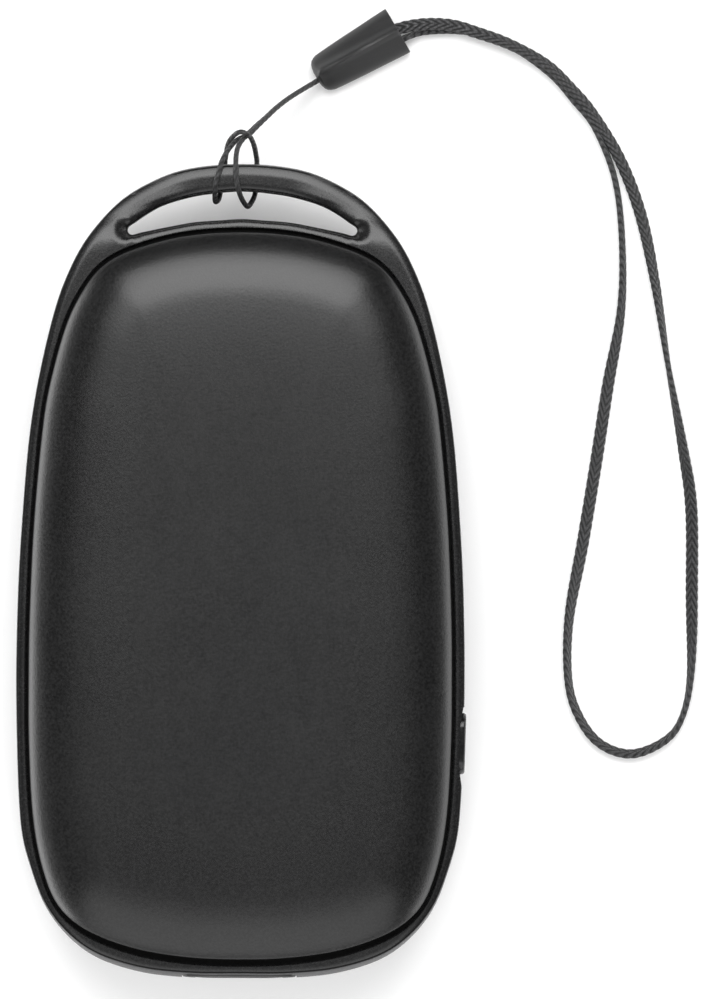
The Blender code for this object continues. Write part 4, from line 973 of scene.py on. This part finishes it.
bezelLook = {
    "seam": 0.0068, "top": 0.0086, "ledge": 0.0071, "seamInset": 0.0003, "seamEdge": 0.00006,
    # how wide and how high the crown of its outer edge is
    "crownSide": (0.0008, 0.00024), "crownEnd": (0.0007, 0.0001), "crownLoop": (0.0014, 0.0003),
    "loopFrom": 0.036, "loopTo": 0.0555, "steps": 10, "lines": 13, "lineStep": 0.0005,
    "grooveSide": 0.0003, "grooveTop": 0.0006, "grooveBottom": 0.00095,
    "innerSlopeSide": 0.0003, "innerSlopeEnd": 0.00012,
    # the pocket's side, as shares of that slope outwards and upwards
    "pocket": ((0.0, -0.35), (0.03, -0.14), (0.12, 0.02), (0.3, 0.2), (1.0, 0.96), (1.12, 1.04)),
    "shelfFlat": 0.8, "shelfNear": 0.0001,
}


def grooveAt(point, normal):
    look = bezelLook
    end = look["grooveTop"] if normal.y > 0 else look["grooveBottom"]
    return look["grooveSide"] + (end - look["grooveSide"]) * normal.y ** 4


def crownAt(point, normal):
    look = bezelLook
    loop = eased((point.y - look["loopFrom"]) / (look["loopTo"] - look["loopFrom"]))
    end = normal.y ** 4 * (1 - loop)
    return [side + (last - side) * end + (far - side) * loop
            for side, last, far in zip(look["crownSide"], look["crownEnd"], look["crownLoop"])]


def slopeAt(normal):
    look = bezelLook
    return look["innerSlopeSide"] + (look["innerSlopeEnd"] - look["innerSlopeSide"]) * normal.y ** 4


def makeBezel(look):
    def outerRing(share, inset=0.0, level=None):
        # one line of the crowned outer edge, wider and higher along the loop
        ring = []
        for point, normal in zip(caseOutline, normalsOf(caseOutline)):
            wide, high = crownAt(point, normal)
            place = point - normal * (look["seamInset"] + bulge(normal) + inset + wide * share)
            z = look["top"] - high * (1 - share) ** 2 if level is None else level
            ring.append(Vector((*place, case["mid"] + z)))
        return ring

    rings = [outerRing(0.0, look["seamEdge"], look["seam"]),
             outerRing(0.0, 0.0, look["seam"] + look["seamEdge"])]
    rings += [outerRing(step / look["steps"]) for step in range(look["steps"] + 1)]
    rings += [outerRing(1.0, look["lineStep"] * step) for step in range(1, look["lines"] + 1)]
    piece = formFromRings("frontBezel", rings)

    def pocketRing(share, rise, level=None):
        # one line of the pocket's sloping side, from the groove out to the flat
        flat = grown(coverOutline, lambda point, normal: grooveAt(point, normal) + slopeAt(normal) * share)
        ring = []
        for point, normal in zip(flat, normalsOf(coverOutline)):
            z = look["top"] - slopeAt(normal) * (1 - rise) if level is None else level
            ring.append(Vector((point.x, point.y, case["mid"] + z)))
        return ring

    pocket = [pocketRing(look["pocket"][0][0], 0.0, look["ledge"])]
    pocket += [pocketRing(share, rise) for share, rise in look["pocket"]]
    pocket.append(pocketRing(look["pocket"][-1][0], 0.0, look["top"] + past))
    opening = [levelRing(grown(crescent, loopLook["seam"]), look["seam"] - past)]
    for step in range(look["steps"] + 1):
        turn = math.pi / 2 * step / look["steps"]
        ring = []
        for point, normal in zip(crescent, normalsOf(crescent)):
            tip = tipShare(point, normal)
            inset = (1 - math.cos(turn)) * (1 - tip) + step / look["steps"] * tip
            rise = math.sin(turn)
            wide = flareAt(point, normal) - loopLook["seam"]
            z = look["top"] - flareAt(point, normal, "deep") * (1 - rise)
            ring.append(Vector((*(point + normal * (loopLook["seam"] + wide * inset)), case["mid"] + z)))
        opening.append(ring)
    opening.append(levelRing(grown(crescent, flareAt), look["top"] + past))
    carve(piece, formFromRings("pocket", pocket),
          formFromRings("inside", [levelRing(innerOutline, look["seam"] - past),
                                   levelRing(innerOutline, look["top"] + past)]),
          formFromRings("opening", opening), scoopTool(buttonLook))
    return lowerLoop(piece)


bezelFinish = surface("satinBlackBezel", {
    "colour": (0.003, 0.003, 0.0032), "tint": (0.012, 0.012, 0.0123), "rough": (0.26, 0.28),
    "grain": 0.0003, "marks": 0.012, "relief": 0.00001})
# matt, low-gloss black that stands for the shade in the groove and the seams: painted shade
grooveShadeFinish = surface("mattPaintedShade", {
    "colour": (0.012, 0.012, 0.012), "tint": (0.02, 0.02, 0.02), "rough": (0.85, 0.95),
    "grain": 0.0002, "marks": 0.003, "relief": 0.00002, "specular": 0.1})


def shadedShelves(piece, level):
    # painted shade: a matt, low-gloss black on the narrow shelves at this height, the groove's floor and the
    # seams, where only shade falls
    look = bezelLook
    piece.data.materials.append(grooveShadeFinish)
    for face in piece.data.polygons:
        height = abs(face.center.z - case["mid"]) + fallAt(face.center)
        if abs(face.normal.z) > look["shelfFlat"] and abs(height - level) < look["shelfNear"]:
            face.material_index = 1
    return piece


frontBezel = shadedShelves(dressed(makeBezel(bezelLook), "frontBezel", bezelFinish, 30), bezelLook["ledge"])
rides(frontBezel, "case", "front_bezel")
backBezel = turnedOver(frontBezel, "backBezel")
rides(backBezel, "case", "back_bezel")
print("bezels made")


# Middle frame

frameLook = {
    "half": 0.0065, "loopBulge": 0.00003, "edge": 0.0001,
    # height as a share of the half height, and how much of the edge's rounding falls there
    "levels": ((1.0, 1.0), (0.993, 0.45), (0.98, 0.12), (0.96, 0.0), (0.85, 0.0), (0.7, 0.0), (0.5, 0.0),
               (0.25, 0.0)),
    "bossWidth": 0.005, "bossDepth": 0.003, "bossRoot": 0.0006,
    "cradleBossStart": 0.021, "boardBossStart": 0.02, "room": 0.0003, "portReach": 0.0022,
    "cradleSeat": -0.0011, "boardSeat": -0.0021, "boreRadius": 0.0011,
    "portHalfWidth": 0.0086, "portHalfHeight": 0.0056, "portCorner": 0.0014,
}


def makeFrame(look):
    levels = [(-share, edge) for share, edge in look["levels"]] + [(0.0, 0.0)]
    levels += [(share, edge) for share, edge in reversed(look["levels"])]
    piece = formFromRings("midFrame", [
        levelRing(grown(caseOutline, lambda point, normal: -bulge(normal) * abs(share) ** 2.5
                        - look["edge"] * edge), look["half"] * share) for share, edge in levels])
    reach = look["half"] + past
    opening = [levelRing(grown(crescent, look["loopBulge"] + look["edge"]), -reach)]
    opening += [levelRing(grown(crescent, look["loopBulge"] * abs(share) ** 2 + look["edge"] * edge),
                          look["half"] * share) for share, edge in levels]
    opening.append(levelRing(grown(crescent, look["loopBulge"] + look["edge"]), reach))
    carve(piece, formFromRings("inside", [levelRing(innerOutline, -reach), levelRing(innerOutline, reach)]),
          formFromRings("opening", opening), scoopTool(buttonLook))
    blocks, bores = [], []
    screws = [(f"cradle_screw_{i}", look["cradleBossStart"], look["cradleSeat"]) for i in (1, 2, 3, 4)]
    screws += [(f"board_screw_{i}", look["boardBossStart"], look["boardSeat"]) for i in (1, 2)]
    for node, start, seat in screws:
        low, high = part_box(node)
        middle = (low + high) / 2
        wall = math.copysign(halfWidthAt(innerOutline, middle.y) + look["bossRoot"], middle.x)
        near = math.copysign(start, middle.x)
        top = case["mid"] + seat
        blocks.append(slab((min(near, wall), middle.y - look["bossWidth"] / 2, top - look["bossDepth"]),
                           (max(near, wall), middle.y + look["bossWidth"] / 2, top)))
        bores.append(rod((middle.x, middle.y, top - look["bossDepth"] - past),
                         (middle.x, middle.y, top + past), look["boreRadius"], 24))
    combined(piece, joined(blocks), "UNION")
    button = buttonLook
    flank, wall = halfWidthAt(caseOutline, button["y"]), halfWidthAt(innerOutline, button["y"])
    hole = pill(button["length"] / 2 + look["room"], button["height"] / 2 + look["room"])
    port = roundedBox(look["portHalfWidth"], look["portHalfHeight"], look["portCorner"])
    carve(piece, joined(bores),
          formFromRings("buttonHole", [alongX(hole, x, button["y"], case["mid"])
                                       for x in (wall - past, flank + past)]),
          rod((wall - past, pipeY(), case["mid"]), (flank + past, pipeY(), case["mid"]),
              button["pipeRadius"] + look["room"]),
          formFromRings("portHole", [alongY(port, y, 0, case["mid"]) for y in (
              case["bottom"] - past, case["coverBottom"] + look["portReach"])]))
    return lowerLoop(piece)


def pipeY():
    return buttonLook["y"] - buttonLook["length"] / 2 - buttonLook["pipeGap"] - buttonLook["pipeRadius"]


frameFinish = surface("greyBlackFrame", {
    "colour": (0.018, 0.018, 0.0185), "tint": (0.028, 0.028, 0.029), "rough": (0.4, 0.52),
    "grain": 0.0003, "marks": 0.007, "relief": 0.000006, "specular": 0.35})
midFrame = shadedShelves(dressed(makeFrame(frameLook), "midFrame", frameFinish, 35), frameLook["half"])
rides(midFrame, "case", "mid_frame")
print("middle frame made")


# Button and light pipe

def makeButton(look):
    face = halfWidthAt(caseOutline, look["y"]) + look["proud"]
    low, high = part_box("power_button")
    half, radius = look["length"] / 2, look["height"] / 2
    above = halfWidthAt(caseOutline, look["y"] + half)
    below = halfWidthAt(caseOutline, look["y"] - half)
    lean = (above - below) / look["length"]
    wall = min(halfWidthAt(innerOutline, look["y"] + offset)
               for offset in (-half - look["lip"], 0, half + look["lip"]))
    front = wall - look["gap"]
    back = front - look["flange"]
    flange = pill(half + look["lip"], radius + look["lip"])
    rings = [alongX(flange, back, look["y"], case["mid"]), alongX(flange, front, look["y"], case["mid"]),
             alongX(pill(half, radius), front, look["y"], case["mid"])]
    for step in range(7):
        turn = math.pi / 2 * step / 6
        draw = look["edge"] * (1 - math.cos(turn))
        rings.append(alongX(pill(half - draw, radius - draw), face - look["edge"] * (1 - math.sin(turn)),
                            look["y"], case["mid"], lean))
    for draw, sink in look["dishLines"]:
        rings.append(alongX(pill(half - draw, radius - draw), face - look["dish"] * sink, look["y"],
                            case["mid"], lean))
    piece = formFromRings("sideButton", rings)
    level = case["mid"] + look["stemLevel"]
    stem = rod((low.x, look["y"], level), (back + look["stemRoot"], look["y"], level), look["stem"], 32)
    return combined(piece, stem, "UNION")


def makePipe(look):
    # a clear rod with a domed end in the thumb scoop
    low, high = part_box("indicator_light_pipe")
    rings = []
    for step in range(7):
        turn = math.pi / 2 * step / 6.4
        rings.append(alongX(circle(look["pipeRadius"] * math.cos(turn), 40),
                            high.x - look["pipeDome"] * (1 - math.sin(turn)), pipeY(), case["mid"]))
    rings.insert(0, alongX(circle(look["pipeRadius"], 40), low.x, pipeY(), case["mid"]))
    return formFromRings("lightPipe", rings)


buttonFinish = surface("glossBlackKey", {
    "colour": (0.008, 0.008, 0.0085), "tint": (0.013, 0.013, 0.0135), "rough": (0.16, 0.26),
    "grain": 0.0004, "marks": 0.003, "relief": 0.000002})
sideButton = dressed(makeButton(buttonLook), "sideButton", buttonFinish, 40)
rides(sideButton, "button", "power_button")


def clearFinish(name, look):
    # clear plastic or glass, with a little cloud inside its gloss
    made, tree, shader = startFinish(name, look)
    shader.inputs["Transmission Weight"].default_value = look["clear"]
    shader.inputs["IOR"].default_value = 1.5
    place = addNode(tree, "ShaderNodeTexCoord").outputs["Object"]
    worn = placeGroup(tree, marks, place, {"Size": 1 / look["marks"]})
    tree.links.new(blended(tree, worn["Mask"], look["colour"], look["tint"]), shader.inputs["Base Color"])
    tree.links.new(spread(tree, worn["Mask"], 0.0, 1.0, *look["rough"]), shader.inputs["Roughness"])
    return made


lightPipe = dressed(makePipe(buttonLook), "lightPipe", clearFinish("clearPipe", {
    "colour": (0.82, 0.84, 0.86), "tint": (0.7, 0.73, 0.76), "rough": (0.12, 0.3), "clear": 0.75,
    "marks": 0.0006}), 40)
rides(lightPipe, "case", "indicator_light_pipe")
print("button and light pipe made")


# Port end

portLook = {
    "front": -0.0609, "mouth": -0.060725, "halfWidth": 0.0085, "halfHeight": 0.0055, "corner": 0.0013,
    "lip": 0.0008, "flange": 0.001, "edge": 0.0003, "bow": 0.00025, "bowReach": 0.95, "bowSteps": 10,
    "leastCorner": 0.0002,
    "room": 0.0003, "chamfer": 0.0002, "chamferDepth": 0.0003, "backRoom": 0.0003,
    # a shell's flared mouth: what share of the wall in from outside, and how far behind the mouth
    "flare": ((1.0, 0.0006), (0.7, 0.0002), (0.45, 0.00003), (0.2, 0.0), (0.0, 0.00006)),
    "backEdge": 0.0001, "contactStart": 0.0005, "contactProud": 0.00006, "contactSunk": 0.00012,
    "contactEdge": 0.00005,
    "usb": {"width": 0.0125, "height": 0.0051, "depth": 0.013, "wall": 0.00035, "corner": 0.0005,
            "level": 0.00205, "tongueWidth": 0.0108, "tongueHigh": 0.0016, "tongueRise": 0.0007,
            "setback": 0.001, "contacts": 4, "contactWidth": 0.0011, "contactPitch": 0.0025,
            "contactLength": 0.0072},
    "charging": {"width": 0.0075, "height": 0.0025, "depth": 0.0055, "wall": 0.0003, "corner": 0.0007,
                 "level": -0.00335, "tongueWidth": 0.0046, "tongueHigh": 0.0006, "tongueRise": 0.0,
                 "setback": 0.0007, "contacts": 5, "contactWidth": 0.00038, "contactPitch": 0.00065,
                 "contactLength": 0.0028},
}


def makeSurround(look):
    low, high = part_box("port_surround")
    wall = high.y - look["flange"]
    plug = roundedBox(look["halfWidth"], look["halfHeight"], look["corner"])
    flange = roundedBox(look["halfWidth"] + look["lip"], look["halfHeight"] + look["lip"] / 2, look["corner"])
    rings = []
    for step in range(look["bowSteps"], 0, -1):
        share = step / look["bowSteps"]
        draw = look["edge"] + (look["halfHeight"] - look["edge"]) * look["bowReach"] * share
        out = look["bow"] * (1 - (1 - share) ** 2)
        rings.append(alongY(roundedBox(look["halfWidth"] - draw, look["halfHeight"] - draw,
                                       max(look["corner"] - draw, look["leastCorner"])),
                            look["front"] - out, 0, case["mid"]))
    for step in range(7):
        turn = math.pi / 2 * step / 6
        draw = look["edge"] * (1 - math.sin(turn))
        rings.append(alongY(roundedBox(look["halfWidth"] - draw, look["halfHeight"] - draw,
                                       look["corner"] - draw),
                            look["front"] + look["edge"] * (1 - math.cos(turn)), 0, case["mid"]))
    rings += [alongY(plug, wall, 0, case["mid"]), alongY(flange, wall, 0, case["mid"]),
              alongY(flange, high.y, 0, case["mid"])]
    piece = formFromRings("portSurround", rings)
    for socket in (look["usb"], look["charging"]):
        level = case["mid"] + socket["level"]
        mouth, wide = [roundedBox(socket["width"] / 2 + room, socket["height"] / 2 + room,
                                  socket["corner"] + room)
                       for room in (look["room"], look["room"] + look["chamfer"])]
        carve(piece, formFromRings("mouth", [alongY(outline, y, 0, level) for outline, y in (
            (wide, look["front"] - 2 * past), (wide, look["front"] - look["chamferDepth"]),
            (mouth, look["front"]), (mouth, high.y + past))]))
    return piece


def makeShell(name, look):
    # folded sheet with a flared mouth, open to the front
    level = case["mid"] + look["level"]
    mouth, wall, corner, edge = portLook["mouth"], look["wall"], look["corner"], portLook["backEdge"]
    back = mouth + look["depth"]

    def ring(inset, y):
        return alongY(roundedBox(look["width"] / 2 - inset, look["height"] / 2 - inset,
                                 max(corner - inset, edge)), y, 0, level)

    piece = formFromRings(name, [ring(wall, back - wall)] + [
        ring(wall * share, mouth + behind) for share, behind in portLook["flare"]] + [
        ring(0.0, back - edge), ring(edge, back)])
    # two sprung leaves pressed into the roof
    for side in (-1, 1):
        x = side * look["width"] * 0.24
        half = look["width"] * 0.07
        roof = level + look["height"] / 2
        leaf = slab((x - half, mouth + look["depth"] * 0.18, roof - wall * 1.7),
                    (x + half, mouth + look["depth"] * 0.6, roof - wall * 0.5))
        combined(piece, rounded(leaf, wall * 0.35, 2), "UNION")
    return piece


def makeTongue(name, look, finish, contactFinish):
    level = case["mid"] + look["level"] + look["tongueRise"]
    front = portLook["mouth"] + look["setback"]
    back = portLook["mouth"] + look["depth"] - look["wall"] - portLook["backRoom"]
    half, thick = look["tongueWidth"] / 2, look["tongueHigh"] / 2
    tongue = dressed(rounded(slab((-half, front, level - thick), (half, back, level + thick)),
                             thick * 0.35, 3), name, finish, 40)
    strips = []
    start, under = front + portLook["contactStart"], level - thick
    for i in range(look["contacts"]):
        x = (i - (look["contacts"] - 1) / 2) * look["contactPitch"]
        strip = slab((x - look["contactWidth"] / 2, start, under - portLook["contactProud"]),
                     (x + look["contactWidth"] / 2, start + look["contactLength"],
                      under + portLook["contactSunk"]))
        strips.append(dressed(rounded(strip, portLook["contactEdge"], 2), f"{name}Contact",
                              contactFinish, 40))
    return joined([tongue] + strips)


insertFinish = surface("portInsertBlack", {
    "colour": (0.024, 0.024, 0.0245), "tint": (0.034, 0.034, 0.0345), "rough": (0.34, 0.44),
    "grain": 0.00022, "marks": 0.004, "relief": 0.000009})
nickelFinish = surface("nickelShell", {
    "colour": (0.6, 0.6, 0.61), "tint": (0.7, 0.69, 0.67), "rough": (0.22, 0.38), "metallic": 1.0,
    "grain": 0.0005, "marks": 0.003, "relief": 0.0000015, "stretch": (1.0, 0.12, 1.0)})
tongueFinish = surface("contactCarrierBlack", {
    "colour": (0.016, 0.016, 0.016), "tint": (0.026, 0.026, 0.026), "rough": (0.4, 0.5),
    "grain": 0.00015, "marks": 0.002, "relief": 0.000004})
goldFinish = surface("goldContact", {
    "colour": (0.78, 0.52, 0.2), "tint": (0.86, 0.62, 0.28), "rough": (0.2, 0.34), "metallic": 1.0,
    "grain": 0.0002, "marks": 0.0015, "relief": 0.000001, "stretch": (1.0, 0.15, 1.0)})

portSurround = dressed(makeSurround(portLook), "portSurround", insertFinish, 40)
rides(portSurround, "case", "port_surround")
usbShell = dressed(makeShell("usbShell", portLook["usb"]), "usbShell", nickelFinish, 40)
rides(usbShell, "case", "usb_output_shell")
usbTongue = makeTongue("usbTongue", portLook["usb"], tongueFinish, goldFinish)
rides(usbTongue, "case", "usb_output_tongue")
chargingShell = dressed(makeShell("chargingShell", portLook["charging"]), "chargingShell", nickelFinish, 40)
rides(chargingShell, "case", "charging_port_shell")
chargingTongue = makeTongue("chargingTongue", portLook["charging"], tongueFinish, goldFinish)
rides(chargingTongue, "case", "charging_port_tongue")
print("port end made")


# What lies inside keeps its solids and gets its own finishes

def solderMask():
    # green lacquer over copper tracks, with a grid of small tinned pads
    look = {"colour": (0.008, 0.07, 0.028), "relief": 0.00002}
    made, tree, shader = startFinish("solderMaskGreen", look)
    place = addNode(tree, "ShaderNodeTexCoord").outputs["Object"]
    tracks = addNode(tree, "ShaderNodeTexBrick", {"offset": 0.37, "squash": 1.6},
                     {"Scale": 300.0, "Mortar Size": 0.035, "Brick Width": 1.7, "Row Height": 0.42})
    pads = addNode(tree, "ShaderNodeTexVoronoi", None, {"Scale": 420.0, "Randomness": 0.55})
    worn = placeGroup(tree, marks, place, {"Size": 220.0})
    tree.links.new(place, tracks.inputs["Vector"])
    tree.links.new(place, pads.inputs["Vector"])
    line = tracks.outputs["Fac"]
    dot = calc(tree, "LESS_THAN", pads.outputs["Distance"], 0.16)
    base = blended(tree, worn["Mask"], (0.007, 0.062, 0.024), (0.011, 0.085, 0.035))
    base = blended(tree, line, base, (0.02, 0.15, 0.055))
    tree.links.new(blended(tree, dot, base, (0.62, 0.61, 0.58)), shader.inputs["Base Color"])
    tree.links.new(dot, shader.inputs["Metallic"])
    tree.links.new(spread(tree, worn["Mask"], 0.0, 1.0, 0.3, 0.42), shader.inputs["Roughness"])
    embossed(tree, shader, line, look["relief"])
    return made


def heaterFilm():
    # amber film with the copper element winding through it
    look = {"colour": (0.42, 0.17, 0.03), "relief": 0.00004}
    made, tree, shader = startFinish("amberHeaterFilm", look)
    place = addNode(tree, "ShaderNodeTexCoord").outputs["Object"]
    winding = addNode(tree, "ShaderNodeTexWave", {"wave_type": "BANDS", "bands_direction": "Y"},
                      {"Scale": 78.0, "Distortion": 0.0})
    cloud = placeGroup(tree, grain, place, {"Size": 900.0})
    tree.links.new(place, winding.inputs["Vector"])
    strip = spread(tree, winding.outputs["Fac"], 0.45, 0.6, 0.0, 1.0)
    film = blended(tree, cloud["Shade"], (0.38, 0.15, 0.025), (0.46, 0.2, 0.04))
    tree.links.new(blended(tree, strip, film, (0.2, 0.06, 0.02)), shader.inputs["Base Color"])
    tree.links.new(spread(tree, strip, 0.0, 1.0, 0.28, 0.36), shader.inputs["Roughness"])
    embossed(tree, shader, strip, look["relief"])
    return made


def cellSleeve():
    # a shrunk blue sleeve that leaves both ends of the steel can bare
    look = {"colour": (0.03, 0.13, 0.3), "bareEnd": 0.0007, "relief": 0.00001}
    made, tree, shader = startFinish("blueCellSleeve", look)
    low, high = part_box("battery_cell_left")
    middle, half = (low.y + high.y) / 2, (high.y - low.y) / 2 - look["bareEnd"]
    place = addNode(tree, "ShaderNodeTexCoord").outputs["Object"]
    parts = addNode(tree, "ShaderNodeSeparateXYZ")
    tree.links.new(place, parts.inputs[0])
    gone = calc(tree, "ABSOLUTE", calc(tree, "SUBTRACT", parts.outputs["Y"], middle))
    bare = calc(tree, "GREATER_THAN", gone, half)
    crinkle = placeGroup(tree, grain, place, {"Size": 500.0})
    worn = placeGroup(tree, marks, place, {"Size": 120.0})
    sleeve = blended(tree, worn["Mask"], (0.026, 0.115, 0.27), (0.038, 0.15, 0.34))
    tree.links.new(blended(tree, bare, sleeve, (0.55, 0.55, 0.56)), shader.inputs["Base Color"])
    tree.links.new(bare, shader.inputs["Metallic"])
    tree.links.new(spread(tree, crinkle["Shade"], 0.0, 1.0, 0.25, 0.36), shader.inputs["Roughness"])
    embossed(tree, shader, crinkle["Height"], look["relief"])
    return made


def openFoam():
    # small open cells, darker in their pits: painted shade in the hollows
    look = {"colour": (0.12, 0.12, 0.125), "relief": 0.00012}
    made, tree, shader = startFinish("greyFoam", look)
    place = addNode(tree, "ShaderNodeTexCoord").outputs["Object"]
    pores = addNode(tree, "ShaderNodeTexVoronoi", None, {"Scale": 1900.0})
    cloud = placeGroup(tree, marks, place, {"Size": 160.0})
    tree.links.new(place, pores.inputs["Vector"])
    pitShadeAndRelief = spread(tree, pores.outputs["Distance"], 0.1, 0.6, 0.0, 1.0)
    # the pits' darker colour is painted shade; the same mask raises the cell walls in the bump
    shade = calc(tree, "ADD", calc(tree, "MULTIPLY", pitShadeAndRelief, 0.75),
                 calc(tree, "MULTIPLY", cloud["Mask"], 0.25))
    tree.links.new(blended(tree, shade, (0.05, 0.05, 0.053), (0.16, 0.16, 0.165)),
                   shader.inputs["Base Color"])
    tree.links.new(spread(tree, shade, 0.0, 1.0, 0.95, 0.85), shader.inputs["Roughness"])
    embossed(tree, shader, pitShadeAndRelief, look["relief"])
    return made


packageFinish = surface("chipPackage", {
    "colour": (0.018, 0.018, 0.019), "tint": (0.03, 0.03, 0.031), "rough": (0.48, 0.6),
    "grain": 0.00012, "marks": 0.002, "relief": 0.000006})
screwFinish = surface("zincScrew", {
    "colour": (0.5, 0.5, 0.51), "tint": (0.6, 0.59, 0.56), "rough": (0.28, 0.42), "metallic": 1.0,
    "grain": 0.0002, "marks": 0.0012, "relief": 0.000003})
stripFinish = surface("nickelStrip", {
    "colour": (0.6, 0.59, 0.56), "tint": (0.68, 0.66, 0.62), "rough": (0.26, 0.42), "metallic": 1.0,
    "grain": 0.0004, "marks": 0.004, "relief": 0.000003, "stretch": (0.15, 1.0, 1.0)})
blackLead = surface("blackLeadSleeve", {
    "colour": (0.012, 0.012, 0.012), "tint": (0.022, 0.022, 0.022), "rough": (0.42, 0.56),
    "grain": 0.0003, "marks": 0.003, "relief": 0.000005})
redLead = surface("redLeadSleeve", {
    "colour": (0.36, 0.015, 0.015), "tint": (0.45, 0.03, 0.025), "rough": (0.4, 0.54),
    "grain": 0.0003, "marks": 0.003, "relief": 0.000005})
filmFinish, sleeveFinish, foamFinish = heaterFilm(), cellSleeve(), openFoam()

insideFinishes = {
    "main_circuit_board": solderMask(),
    "controller_chip": packageFinish, "charger_chip": packageFinish, "tact_switch_body": packageFinish,
    "tact_switch_plunger": tongueFinish,
    "boost_inductor": surface("greyFerrite", {
        "colour": (0.07, 0.07, 0.078), "tint": (0.11, 0.11, 0.12), "rough": (0.55, 0.7),
        "grain": 0.00018, "marks": 0.002, "relief": 0.00001}),
    "indicator_led": surface("paleLedPackage", {
        "colour": (0.82, 0.76, 0.5), "tint": (0.88, 0.84, 0.62), "rough": (0.3, 0.45),
        "grain": 0.0003, "marks": 0.0015, "relief": 0.000002}),
    "cell_cradle": surface("whiteCradle", {
        "colour": (0.56, 0.56, 0.54), "tint": (0.64, 0.64, 0.62), "rough": (0.42, 0.54),
        "grain": 0.00035, "marks": 0.01, "relief": 0.000008}),
    "battery_cell_left": sleeveFinish, "battery_cell_right": sleeveFinish,
    "upper_cell_tab": stripFinish, "lower_cell_tab": stripFinish,
    "front_heater": filmFinish, "back_heater": filmFinish,
    "front_foam_pad": foamFinish, "back_foam_pad": foamFinish,
    "thermistor": clearFinish("amberGlass", {
        "colour": (0.5, 0.18, 0.05), "tint": (0.38, 0.12, 0.03), "rough": (0.08, 0.2), "clear": 0.5,
        "marks": 0.001}),
    "positive_lead": redLead, "negative_lead": blackLead,
    "front_heater_lead": blackLead, "back_heater_lead": blackLead,
}
for number in (1, 2, 3, 4):
    insideFinishes[f"cradle_screw_{number}"] = screwFinish
for number in (1, 2):
    insideFinishes[f"board_screw_{number}"] = screwFinish
for node, finish in insideFinishes.items():
    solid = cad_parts[node]
    if not solid.material_slots:
        solid.data.materials.append(finish)
    for holder in solid.material_slots:
        holder.material = finish
print("inside finishes set")

choose()
